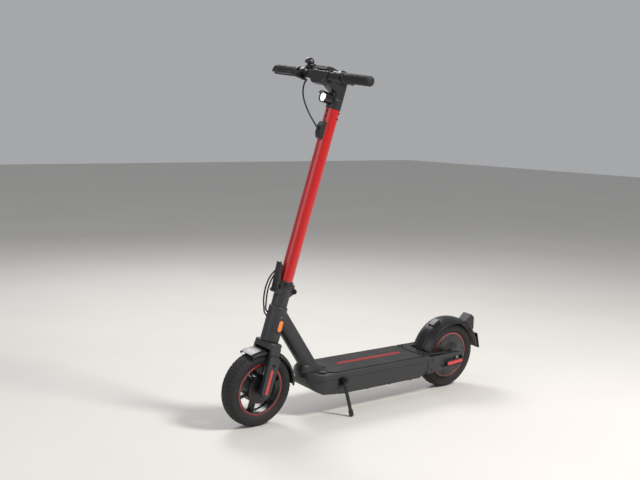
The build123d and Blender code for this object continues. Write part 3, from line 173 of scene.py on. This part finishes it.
class Finish:
    """A material under construction, around one Principled shader."""

    def __init__(self, name, **shader):
        self.material = bpy.data.materials.new(name)
        self.material.use_nodes = True
        self.tree = self.material.node_tree
        self.shader = self.tree.nodes["Principled BSDF"]
        for socket, value in shader.items():
            self.shader.inputs[socket.replace("_", " ").title().replace("Ior", "IOR")].default_value = value

    def node(self, kind, settings=None, inputs=None, output=0):
        made = self.tree.nodes.new(kind)
        for key, value in (settings or {}).items():
            setattr(made, key, value)
        for key, value in (inputs or {}).items():
            self.plug(made.inputs[key], value)
        return Wire(self, made.outputs[output])

    def plug(self, socket, value):
        if isinstance(value, Wire):
            self.tree.links.new(value.socket, socket)
        else:
            socket.default_value = value

    def set(self, **values):
        for socket, value in values.items():
            self.plug(self.shader.inputs[socket.replace("_", " ").title()], value)

    def place(self):
        return self.node("ShaderNodeTexCoord", output=3)

    def split(self, vector):
        made = self.tree.nodes.new("ShaderNodeSeparateXYZ")
        self.plug(made.inputs[0], vector)
        return [Wire(self, made.outputs[i]) for i in range(3)]

    def noise(self, scale, detail=2.0, roughness=0.5, stretch=None):
        where = self.place()
        if stretch:
            where = self.node("ShaderNodeVectorMath", {"operation": "MULTIPLY"}, {0: where, 1: stretch})
        inputs = {"Vector": where, "Scale": scale, "Detail": detail, "Roughness": roughness}
        return self.node("ShaderNodeTexNoise", None, inputs)

    def cells(self, scale, feature="F1"):
        inputs = {"Vector": self.place(), "Scale": scale}
        return self.node("ShaderNodeTexVoronoi", {"feature": feature}, inputs)

    def ramp(self, value, low, high):
        """0 below low, 1 above high, and smooth between."""
        settings = {"interpolation_type": "SMOOTHSTEP"}
        inputs = {"Value": value, "From Min": low, "From Max": high}
        return self.node("ShaderNodeMapRange", settings, inputs)

    def blend(self, factor, first, second):
        made = self.tree.nodes.new("ShaderNodeMix")
        made.data_type = "RGBA"
        colours = [socket for socket in made.inputs if socket.type == "RGBA"]
        self.plug(made.inputs[0], factor)
        self.plug(colours[0], first)
        self.plug(colours[1], second)
        return Wire(self, next(socket for socket in made.outputs if socket.type == "RGBA"))

    def relief(self, height, depth, edge=0.0):
        """Bumps of that depth in metres; edge rounds hard corners by that radius."""
        inputs = {"Height": height, "Distance": depth, "Strength": 1.0}
        if edge:
            inputs["Normal"] = self.node("ShaderNodeBevel", {"samples": 4}, {"Radius": edge})
        self.set(Normal=self.node("ShaderNodeBump", None, inputs))


def colour(r, g, b):
    return (r, g, b, 1.0)


print("helpers ready")

# %% [markdown]
# ## Painted metal
# Frame, fork and castings are powder coated: the powder melts into a skin with a very fine
# orange-peel ripple, a soft sheen that varies from place to place, and a little pale dust in the
# open. A noise drives each of the three. A rounded-edge normal stands for the radius every casting
# has, which a CAD mesh leaves razor sharp.

# %% Powder coat
def powder_coat(name, base, sheen, dust=0.06, edge=1.2 * MM):
    finish = Finish(name, roughness=sheen, coat_weight=0.15, coat_roughness=0.3)
    cloud = finish.noise(9.0, 4.0, 0.6)
    speckle = finish.noise(900.0, 2.0, 0.6)
    dusty = finish.ramp(cloud, 0.45, 0.8) * dust
    lighter = tuple(min(1.0, c * 1.35 + 0.003) for c in base)
    painted = finish.blend(speckle * 0.35, colour(*base), colour(*lighter))
    finish.set(Base_Color=finish.blend(dusty, painted, colour(0.16, 0.15, 0.135)))
    finish.set(Roughness=cloud * 0.14 + (sheen - 0.07) + speckle * 0.05)
    finish.relief(speckle, 0.05 * MM, edge)
    return finish.material


frame_coat = powder_coat("graphite powder coat", (0.016, 0.017, 0.020), 0.46)
black_coat = powder_coat("black powder coat", (0.007, 0.007, 0.008), 0.42)
print("two powder coats")

# %% [markdown]
# The stem is lacquered: a saturated red under a clear, glossy coat. Fine metallic grain would show
# in the sun, so a tiny speckle lightens the red slightly, and the coat keeps its own faint ripple.

# %% Red lacquer
def red_lacquer():
    finish = Finish("red lacquer", roughness=0.4, coat_weight=0.35, coat_roughness=0.22)
    speckle = finish.noise(1500.0, 1.0)
    streak = finish.noise(14.0, 5.0, 0.65, stretch=(1, 1, 0.2))
    red = finish.blend(speckle * 0.5, colour(0.42, 0.0015, 0.002), colour(0.56, 0.003, 0.004))
    finish.set(Base_Color=finish.blend(finish.ramp(streak, 0.62, 0.9) * 0.08, red, colour(0.4, 0.1, 0.08)))
    finish.set(Roughness=streak * 0.12 + 0.26)
    finish.relief(finish.noise(220.0, 1.0), 0.03 * MM)
    return finish.material


red_coat = red_lacquer()
print("red lacquer ready")

# %% [markdown]
# ## Plastics and rubbers
# Moulded covers have a spark-eroded grain: small rounded pits, the same in every direction. Voronoi
# cells give those pits, and a slow noise varies how worn and shiny the grain is. Rubber is duller
# and picks up dust, most of all on the tyres.

# %% Moulded plastic and rubber
def moulded(name, base, gloss, grain=0.06, edge=0.8 * MM, grain_scale=1100.0):
    finish = Finish(name, roughness=gloss, coat_weight=0.0)
    pits = finish.cells(grain_scale)
    wear = finish.noise(16.0, 5.0, 0.6)
    paler = tuple(c * 1.6 + 0.004 for c in base)
    finish.set(Base_Color=finish.blend(finish.ramp(wear, 0.4, 0.85) * 0.5, colour(*base), colour(*paler)))
    finish.set(Roughness=wear * 0.2 + (gloss - 0.1) + pits * 0.06)
    finish.relief(pits, grain * MM, edge)
    return finish.material


black_plastic = moulded("grained black plastic", (0.008, 0.008, 0.009), 0.44)
gloss_black = moulded("polished black plastic", (0.004, 0.004, 0.005), 0.18, 0.01)
satin_black = moulded("satin black plastic", (0.007, 0.007, 0.008), 0.3, 0.03)
soft_rubber = moulded("soft black rubber", (0.007, 0.007, 0.008), 0.55, 0.05)
cable_skin = moulded("cable sheath", (0.008, 0.008, 0.009), 0.38, 0.02, 0.0)
cell_wrap = moulded("shrink wrap", (0.03, 0.16, 0.4), 0.3, 0.02, 0.0)


def tyre_rubber():
    finish = Finish("tyre rubber", roughness=0.75)
    dust = finish.noise(34.0, 6.0, 0.65)
    grit = finish.noise(1300.0, 2.0)
    dark = finish.blend(grit * 0.5, colour(0.007, 0.007, 0.008), colour(0.017, 0.0165, 0.016))
    dusty = finish.ramp(dust, 0.45, 0.8) * 0.16
    finish.set(Base_Color=finish.blend(dusty, dark, colour(0.09, 0.082, 0.072)))
    finish.set(Roughness=dust * 0.22 + 0.6)
    finish.relief(grit, 0.09 * MM)
    return finish.material


tyre_black = tyre_rubber()
print("plastics and rubbers ready")

# %% [markdown]
# The standing mat is rubber with a small raised check, so that wet shoes hold. Two families of lines
# cross at right angles: where both sine waves are high there is a stud. Dust sits between the studs,
# so the same mask lightens the gaps. The inlaid stripe is the same rubber in a dull red.

# %% Mat
def mat_rubber(name, base, dust_colour):
    finish = Finish(name, roughness=0.7)
    x, y, z = finish.split(finish.place())
    pitch = 2 * pi / (4.2 * MM)
    studs = ((x + y) * pitch).wave() * ((x - y) * pitch).wave()
    raised = finish.ramp(studs, -0.1, 0.35)
    scuff = finish.noise(11.0, 6.0, 0.62)
    dusty = finish.ramp(scuff, 0.4, 0.75) * (1 - raised * 0.6) * 0.5
    finish.set(Base_Color=finish.blend(dusty, colour(*base), colour(*dust_colour)))
    finish.set(Roughness=0.84 - raised * 0.16 - scuff * 0.1)
    finish.relief(raised, 0.5 * MM, 0.8 * MM)
    return finish.material


mat_black = mat_rubber("studded mat rubber", (0.016, 0.0155, 0.017), (0.06, 0.056, 0.054))
mat_red = mat_rubber("red mat rubber", (0.3, 0.006, 0.008), (0.3, 0.06, 0.05))
print("mat ready")

# %% [markdown]
# ## Reflectors, lamps and glass
# A reflector is a clear moulding whose back is a field of tiny corner cubes. From outside it reads as
# a honeycomb that sparkles. Voronoi cells bend its normal under a smooth, glossy coat and tint the
# plastic. The dark lines between the cells are the moulding's pattern, and the paler cell centres are
# painted sparkle. The amber and red reflectors also get a faint painted glow, though they are no lamps.
# The rim tapes are the same idea printed on film.

# %% Reflectors
def reflector(name, dark, bright, scale, painted_glow=0.0):
    finish = Finish(name, roughness=0.25, coat_weight=1.0, coat_roughness=0.04)
    cubes = finish.cells(scale)
    ribs = finish.cells(scale * 0.25, "DISTANCE_TO_EDGE")
    # painted sparkle: the paler cell centres stand in for glints off the corner cubes
    painted_sparkle = finish.ramp(cubes, 0.1, 0.75)
    tinted = finish.blend(painted_sparkle, colour(*bright), colour(*dark))
    finish.set(Base_Color=finish.blend(finish.ramp(ribs, 0.0, 0.06), colour(*dark), tinted))
    finish.set(Roughness=painted_sparkle * 0.25 + 0.12)
    finish.relief(cubes, 0.15 * MM)
    # painted glow: a reflector sends light back but makes none, and this emission stands in for it
    if painted_glow:
        finish.shader.inputs["Emission Strength"].default_value = painted_glow
        finish.shader.inputs["Emission Color"].default_value = colour(*bright)
    return finish.material


amber = reflector("amber reflector", (0.7, 0.12, 0.004), (0.95, 0.27, 0.015), 420.0, 0.15)
red_prism = reflector("red reflector", (0.38, 0.002, 0.003), (0.75, 0.012, 0.01), 420.0, 0.1)
red_film = reflector("red reflective tape", (0.26, 0.004, 0.006), (0.42, 0.014, 0.016), 900.0)
tail_red = reflector("tail lamp lens", (0.12, 0.001, 0.002), (0.3, 0.003, 0.005), 260.0)


def clear_lens():
    finish = Finish("headlamp lens", roughness=0.05, ior=1.49, alpha=0.55)
    flutes = finish.cells(170.0)
    finish.shader.inputs["Transmission Weight"].default_value = 0.85
    finish.shader.inputs["Emission Color"].default_value = colour(0.95, 0.97, 1.0)
    finish.shader.inputs["Emission Strength"].default_value = 0.9
    finish.set(Base_Color=finish.blend(flutes, colour(0.95, 0.97, 1.0), colour(0.8, 0.85, 0.9)))
    finish.set(Roughness=flutes * 0.12 + 0.03)
    finish.relief(flutes, 0.25 * MM)
    return finish.material


def smoked_glass():
    finish = Finish("smoked screen glass", roughness=0.08, coat_weight=1.0, coat_roughness=0.03)
    smear = finish.noise(60.0, 5.0, 0.6)
    finish.set(Base_Color=finish.blend(smear, colour(0.006, 0.007, 0.01), colour(0.016, 0.018, 0.022)))
    finish.set(Roughness=smear * 0.14 + 0.03)
    return finish.material


lamp_glass = clear_lens()
screen_glass = smoked_glass()
print("lenses ready")

# %% [markdown]
# ## Bare metals
# Turned steel shows fine rings from the lathe, cast or sheet metal a fine all-over grain. A stretched
# noise gives the first and a plain one the second. Windings are copper with a lacquered sheen.

# %% Metals
def bare_metal(name, base, rough, stretch=(1, 8, 1), edge=0.5 * MM):
    finish = Finish(name, metallic=1.0, roughness=rough)
    rings = finish.noise(300.0, 3.0, 0.6, stretch=stretch)
    stain = finish.noise(40.0, 4.0)
    duller = tuple(c * 0.6 for c in base)
    finish.set(Base_Color=finish.blend(finish.ramp(stain, 0.35, 0.8) * 0.6, colour(*base), colour(*duller)))
    finish.set(Roughness=rings * 0.16 + (rough - 0.06))
    finish.relief(rings, 0.04 * MM, edge)
    return finish.material


steel = bare_metal("turned steel", (0.5, 0.5, 0.5), 0.32)
black_steel = bare_metal("black zinc steel", (0.03, 0.03, 0.034), 0.4, (1, 1, 1))
bare_aluminium = bare_metal("sawn aluminium", (0.72, 0.73, 0.74), 0.38, (1, 1, 6))
copper = bare_metal("lacquered copper", (0.66, 0.28, 0.12), 0.3, (1, 1, 9))
magnet_nickel = bare_metal("nickel plate", (0.6, 0.58, 0.53), 0.2, (1, 1, 1))
print("metals ready")

# %% [markdown]
# The wheels' castings are satin black, but the rim's lip is polished by the road dust and shows a
# little paler. Distance from the hub's centre is the plain length of the place less the hub, so the
# material can tell lip from spoke without any drawing.

# %% Wheel paint
def wheel_paint(name, hub):
    finish = Finish(name, roughness=0.38, coat_weight=0.3, coat_roughness=0.25)
    away = finish.node("ShaderNodeVectorMath", {"operation": "SUBTRACT"}, {0: finish.place(), 1: hub})
    radius = finish.node("ShaderNodeVectorMath", {"operation": "LENGTH"}, {0: away}, output=1)
    grain = finish.noise(700.0, 2.0)
    dust = finish.ramp(finish.noise(26.0, 5.0), 0.42, 0.8) * 0.3
    lip = finish.ramp(radius, 72 * MM, 84 * MM)
    black = finish.blend(lip * 0.5, colour(0.007, 0.007, 0.008), colour(0.02, 0.02, 0.022))
    finish.set(Base_Color=finish.blend(dust, black, colour(0.07, 0.065, 0.06)))
    finish.set(Roughness=grain * 0.12 + 0.3)
    finish.relief(grain, 0.05 * MM, 1.0 * MM)
    return finish.material


front_paint = wheel_paint("front wheel paint", front_hub)
rear_paint = wheel_paint("rear wheel paint", rear_hub)
print("wheel paint ready")

# %% [markdown]
# ## Dressing the CAD nodes
# Most pieces are hard parts whose CAD shape is already right. Each keeps its mesh and gets a finish
# in its material slot. Smooth shading with creases at sharp angles hides the facets of round parts
# without touching a vertex.

# %% Assign finishes
finish_of = {
    "frame_neck": frame_coat, "deck_frame": frame_coat, "fork": frame_coat, "leg_covers": frame_coat,
    "folding_base": frame_coat, "arm_covers": frame_coat, "stem_socket": black_coat,
    "fold_lever": black_coat, "stem_head": black_coat, "handlebar": black_coat, "brake_lever": black_coat,
    "bell": black_coat, "stem_tube": red_coat, "battery_cover": black_plastic,
    "battery_case": black_plastic, "charge_port": black_plastic, "rear_fender": satin_black,
    "tail_light_housing": satin_black, "front_fender": satin_black, "dash_cover": black_plastic,
    "throttle_paddle": black_plastic, "bar_clamps": black_plastic, "bell_striker": black_plastic,
    "cable_guide": black_plastic, "headlight_housing": gloss_black, "charge_cap": soft_rubber,
    "power_button": soft_rubber, "grips": soft_rubber, "brake_cable": cable_skin,
    "joint_cables": cable_skin, "deck_mat": mat_black, "deck_stripe": mat_red,
    "front_tyre": tyre_black, "rear_tyre": tyre_black, "front_rim": front_paint, "motor_hub": rear_paint,
    "front_rim_tape": red_film, "rear_rim_tape": red_film, "head_reflectors": amber,
    "red_reflectors": red_prism, "leg_reflectors": red_prism, "tail_light": tail_red,
    "headlight_lens": lamp_glass, "dash_screen": screen_glass, "kickstand": black_coat,
    "stand_bracket": black_steel, "frame_screws": black_steel, "stem_screws": black_steel,
    "brake_arm": black_steel, "hinge_pins": black_steel, "front_axle": black_steel, "motor_axle": steel,
    "headset_bearings": steel, "motor_bearings": steel, "front_bearings": steel,
    "controller": bare_aluminium, "motor_stator": copper, "motor_magnets": magnet_nickel,
    "battery_cells": cell_wrap, "drum_brake": black_coat,
}


def dress(piece, finish, crease=35.0):
    """Puts one finish on a mesh and shades it smooth, with creases where faces meet sharply."""
    piece.data.materials.clear()
    piece.data.materials.append(finish)
    piece.data.shade_smooth()
    piece.data.set_sharp_from_angle(angle=radians(crease))


for name, finish in finish_of.items():
    dress(nodes[name], finish)
print("dressed", len(finish_of), "of", len(nodes), "nodes; plain:", sorted(set(nodes) - set(finish_of)))

# %% [markdown]
# ## Castings
# The neck of the frame and the head of the stem are castings: their arms melt into each other with
# generous radii. CAD joins the same arms with hard corners. So the CAD mesh is copied, rebuilt from
# small voxels, and relaxed until the corners flow. Relaxing makes it a little thinner, so it is grown
# outwards by part of a voxel, and no point may leave the CAD piece's own box.

# %% Cast pieces
def holder(name, data, place):
    """An object in the scene that owns this mesh, with its points moved to where they belong."""
    data.transform(place)
    piece = bpy.data.objects.new(name, data)
    bpy.context.scene.collection.objects.link(piece)
    return piece


def baked(piece):
    """The mesh as its modifiers leave it, with the modifiers gone."""
    graph = bpy.context.evaluated_depsgraph_get()
    data = bpy.data.meshes.new_from_object(piece.evaluated_get(graph))
    piece.modifiers.clear()
    piece.data = data
    return piece


def clamp_to_box(data, low, high):
    """Keeps every vertex within the box of the CAD piece."""
    for vertex in data.vertices:
        vertex.co = [min(max(value, low[i]), high[i]) for i, value in enumerate(vertex.co)]


regrown_share = 0.25


def cast_copy(node, body, voxel, rounds, finish):
    """A softened copy of a CAD node that stands in for it."""
    source = nodes[node]
    piece = holder(node + "_cast", source.data.copy(), source.matrix_world.copy())
    remesh = piece.modifiers.new("voxels", "REMESH")
    remesh.mode = "VOXEL"
    remesh.voxel_size = voxel
    relax = piece.modifiers.new("relax", "SMOOTH")
    relax.factor = 0.5
    relax.iterations = rounds
    regrow = piece.modifiers.new("regrow", "DISPLACE")
    regrow.mid_level = 0.0
    regrow.strength = regrown_share * voxel
    baked(piece)
    corners = [source.matrix_world @ Vector(corner) for corner in source.bound_box]
    low = [min(corner[i] for corner in corners) for i in range(3)]
    high = [max(corner[i] for corner in corners) for i in range(3)]
    clamp_to_box(piece.data, low, high)
    dress(piece, finish, 60.0)
    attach(piece, body)
    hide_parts(node)
    print(piece.name, len(piece.data.polygons), "faces")


cast_copy("stem_head", "stem", 0.9 * MM, 5, black_coat)
cast_copy("frame_neck", "frame", 1.4 * MM, 6, frame_coat)

# %% [markdown]
# ## Grips
# A grip is a rubber sleeve with a flange at its inner end, a smooth round outer end, and a cross-cut
# pattern between. It is turned on a lathe: a grid of points around the bar and along it, pushed
# inwards where two families of spiral grooves run. Its ends, its middle line and its radius are
# measured from the CAD sleeve.

# %% Grip sleeves
def smoothstep(value, low, high):
    t = min(1.0, max(0.0, (value - low) / (high - low)))
    return t * t * (3 - 2 * t)


groove_starts = 16
groove_pitch = 6.5 * MM
groove_depth = 0.7 * MM


def spiral_cut(angle, along):
    """1 in the middle of a groove of either family of spirals."""
    wave = along / groove_pitch
    turns = angle * groove_starts / (2 * pi)
    one = abs(((turns + wave) % 1.0) - 0.5)
    two = abs(((turns - wave) % 1.0) - 0.5)
    return max(1 - smoothstep(0.5 - one, 0.06, 0.16), 1 - smoothstep(0.5 - two, 0.06, 0.16))


def grip_radius(from_inner, from_end, outer):
    """The plain sleeve: a flange at its inner end, a waist beside it, a round outer end."""
    flange = 2.1 * MM * smoothstep(from_inner, 2.4 * MM, 3.2 * MM)
    waist = 0.7 * MM * (1 - smoothstep(abs(from_inner - 12 * MM), 3 * MM, 9 * MM))
    corner = 6.2 * MM
    missing = max(0.0, corner - from_end)
    rounding = corner - (corner ** 2 - missing ** 2) ** 0.5
    return outer - flange - waist - rounding


def make_grip(name, side):
    inverse = steer_frame.inverted()
    points = [inverse @ v.co for v in nodes["grips"].data.vertices]
    points = [point for point in points if point.y * side > 0]
    ends = [min(point.y for point in points), max(point.y for point in points)]
    middle_x = (min(point.x for point in points) + max(point.x for point in points)) / 2
    middle_z = (min(point.z for point in points) + max(point.z for point in points)) / 2
    outer = (max(point.x for point in points) - min(point.x for point in points)) / 2
    length = ends[1] - ends[0]
    around, along_count = 120, 260
    mesh = bmesh.new()
    rings = []
    for step in range(along_count + 1):
        along = length * step / along_count
        from_inner = along if side > 0 else length - along
        from_end = length - from_inner
        patterned = smoothstep(from_inner, 14 * MM, 17 * MM) * smoothstep(from_end, 9 * MM, 12 * MM)
        ring = []
        for turn_step in range(around):
            angle = 2 * pi * turn_step / around
            cut = groove_depth * patterned * spiral_cut(angle, along)
            radius = grip_radius(from_inner, from_end, outer) - cut
            place = (middle_x + radius * cos(angle), ends[0] + along, middle_z + radius * sin(angle))
            ring.append(mesh.verts.new(place))
        rings.append(ring)
    for one, two in zip(rings, rings[1:]):
        for i in range(around):
            j = (i + 1) % around
            mesh.faces.new((one[i], one[j], two[j], two[i]))
    mesh.faces.new(rings[0])
    mesh.faces.new(list(reversed(rings[-1])))
    bmesh.ops.recalc_face_normals(mesh, faces=mesh.faces)
    data = bpy.data.meshes.new(name)
    mesh.to_mesh(data)
    mesh.free()
    piece = holder(name, data, steer_frame)
    dress(piece, soft_rubber, 50.0)
    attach(piece, "stem")
    print(name, "length %.0f mm, radius %.1f mm" % (length / MM, outer / MM))
    return piece


left_grip = make_grip("left_grip", 1)
right_grip = make_grip("right_grip", -1)
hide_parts("grips")
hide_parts("grips")

# %% [markdown]
# ## Cables over the fold
# Two cables leave the stem above the folding joint and go into the head tube below it. When the stem
# folds they have to bend with it. A copy of their CAD mesh, finished as cable sheath, stands in for the
# CAD node. Its placement is baked into its points, and it is tied to neither side of the joint.

# %% Cable copy
def bend_cables():
    source = nodes["joint_cables"]
    piece = holder("fold_cables", source.data.copy(), source.matrix_world.copy())
    dress(piece, cable_skin)
    up = Vector(joints["steering"]["axis"])
    if up.z < 0:
        up.negate()
    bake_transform(piece)
    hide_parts("joint_cables")
    print(piece.name, len(piece.data.polygons), "faces")


bend_cables()

# %% [markdown]
# ## Tyres
# Each tyre is a turned solid in CAD. Its tread is what makes it a tyre, and a bump map would leave
# the outline smooth, so the tread is cut into the mesh. A grid runs around the wheel and across the
# section. A groove function pushes points inwards, and only on the crown and shoulders.

# %% Tyre mesh
def groove(distance, half_width):
    """1 in the middle of a groove, 0 outside it."""
    return 1 - smoothstep(abs(distance), half_width * 0.5, half_width)


tread_blocks = 52
tread_cut = 2.0 * MM
skin = 0.2 * MM                # the tread stays this far inside the CAD tyre


def tread_depth(angle, across, half):
    """How deep the tread is cut at a place on the tyre, from 0 to 1."""
    phase = angle * tread_blocks / (2 * pi)
    side = 1 if across > 0 else -1
    centre = groove(across + 0.10 * half * sin(2 * pi * phase / 2), 0.07 * half)
    ring = groove(abs(across) - 0.42 * half, 0.055 * half)
    slant = phase + side * 0.9 * abs(across) / half
    sipe = groove((slant % 1.0) - 0.5, 0.17)
    sipe *= smoothstep(abs(across) / half, 0.46, 0.52)
    sipe *= 1 - smoothstep(abs(across) / half, 0.86, 0.95)
    inner = groove(((slant + 0.5) % 1.0) - 0.5, 0.1) * groove(abs(across) - 0.27 * half, 0.1 * half)
    return max(centre, ring, sipe, inner)


def tyre_section(outer, seat, half, bead):
    """The tyre's outline from bead to bead, as (radius, across): a round crown, then walls that draw in."""
    points = []
    widest = outer - 21 * MM
    last_turn = radians(140)
    steps = 80
    for step in range(steps + 1):
        turn = last_turn * (2 * step / steps - 1)
        side = 1 if turn > 0 else -1
        past = (abs(turn) - pi / 2) / (last_turn - pi / 2)
        if past < 0:
            points.append((widest + (outer - widest) * cos(turn) ** 0.66, half * sin(turn)))
        else:
            points.append((widest - (widest - seat) * past, side * (half - (half - bead) * past ** 1.7)))
    return points


def make_tyre(name, node, place, body):
    low, high = local_box(node, place)
    outer, half = high.z, high.y
    inverse = place.inverted()
    turned = [inverse @ v.co for v in nodes[node].data.vertices]
    seat = min(hypot(point.x, point.z) for point in turned) + 0.5 * MM
    bead = local_box("front_rim", front_frame)[1].y + 0.3 * MM
    section = tyre_section(outer - skin, seat, half - skin, bead)
    around = 416
    mesh = bmesh.new()
    rings = []
    for step in range(around):
        angle = 2 * pi * step / around
        ring = []
        for radius, across in section:
            cut = tread_depth(angle, across, half)
            crown = smoothstep(radius, outer - 15 * MM, outer - 10 * MM)
            wall_rings = 0.35 * MM * groove(radius - (outer - 22 * MM), 1.6 * MM)
            reach = radius - tread_cut * cut * crown + wall_rings
            ring.append(mesh.verts.new((reach * cos(angle), across, reach * sin(angle))))
        rings.append(ring)
    for step in range(around):
        one, two = rings[step], rings[(step + 1) % around]
        for i in range(len(section) - 1):
            mesh.faces.new((one[i], one[i + 1], two[i + 1], two[i]))
        mesh.faces.new((one[-1], one[0], two[0], two[-1]))
    bmesh.ops.recalc_face_normals(mesh, faces=mesh.faces)
    data = bpy.data.meshes.new(name)
    mesh.to_mesh(data)
    mesh.free()
    piece = holder(name, data, place)
    dress(piece, tyre_black, 50.0)
    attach(piece, body)
    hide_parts(node)
    sizes = (outer / MM, 2 * half / MM, len(data.polygons))
    print(name, "radius %.1f mm, width %.1f mm, %d faces" % sizes)


make_tyre("front_tyre_tread", "front_tyre", front_frame, "front_wheel")
make_tyre("rear_tyre_tread", "rear_tyre", rear_frame, "rear_wheel")

# %% [markdown]
# ## Floor
# A pale floor with a barely visible cast texture keeps the contact shadows honest.

# %% Floor
def make_floor():
    mesh = bmesh.new()
    bmesh.ops.create_grid(mesh, x_segments=8, y_segments=8, size=14.0)
    data = bpy.data.meshes.new("floor")
    mesh.to_mesh(data)
    mesh.free()
    floor = bpy.data.objects.new("floor", data)
    bpy.context.scene.collection.objects.link(floor)
    finish = Finish("pale floor", roughness=0.75)
    cloud = finish.noise(1.2, 5.0, 0.6)
    finish.set(Base_Color=finish.blend(cloud, colour(0.6, 0.58, 0.55), colour(0.68, 0.66, 0.63)))
    finish.set(Roughness=cloud * 0.2 + 0.65)
    floor.data.materials.append(finish.material)


make_floor()
print("floor ready")

# %% [markdown]
# ## Light
# A soft key stands high on the right, a broad fill on the left, and a weaker one behind draws the
# edges. Each place is counted from the middle of the scooter: to the right, towards the camera, up.

# %% Lights
def area_light(name, place, aim, size, watts, tint=(1, 1, 1)):
    data = bpy.data.lights.new(name, "AREA")
    data.shape = "DISK"
    data.size = size
    data.energy = watts
    data.color = tint
    light = bpy.data.objects.new(name, data)
    light.location = place
    light.rotation_euler = (Vector(aim) - Vector(place)).to_track_quat("-Z", "Y").to_euler()
    bpy.context.scene.collection.objects.link(light)


middle = (cad_box[0] + cad_box[1]) / 2
side = Vector((right.x, right.y, 0)).normalized()
toward = -Vector((ahead.x, ahead.y, 0)).normalized()
key_place = middle + 2.2 * side + 1.2 * toward + Vector((0, 0, 2.4))
fill_place = middle - 2.4 * side + 2.2 * toward + Vector((0, 0, 1.2))
back_place = middle - 1.0 * side - 2.4 * toward + Vector((0, 0, 2.2))
area_light("key", key_place, middle, 0.9, 140, (1, 0.97, 0.93))
area_light("fill", fill_place, middle, 2.4, 26, (0.93, 0.96, 1))
area_light("back", back_place, middle, 1.6, 60)
world = bpy.data.worlds.new("studio")
world.use_nodes = True
background = world.node_tree.nodes["Background"]
background.inputs["Color"].default_value = (0.9, 0.92, 0.95, 1)
background.inputs["Strength"].default_value = 0.42
bpy.context.scene.world = world
bpy.context.scene.view_settings.view_transform = "Standard"
print("lights ready")
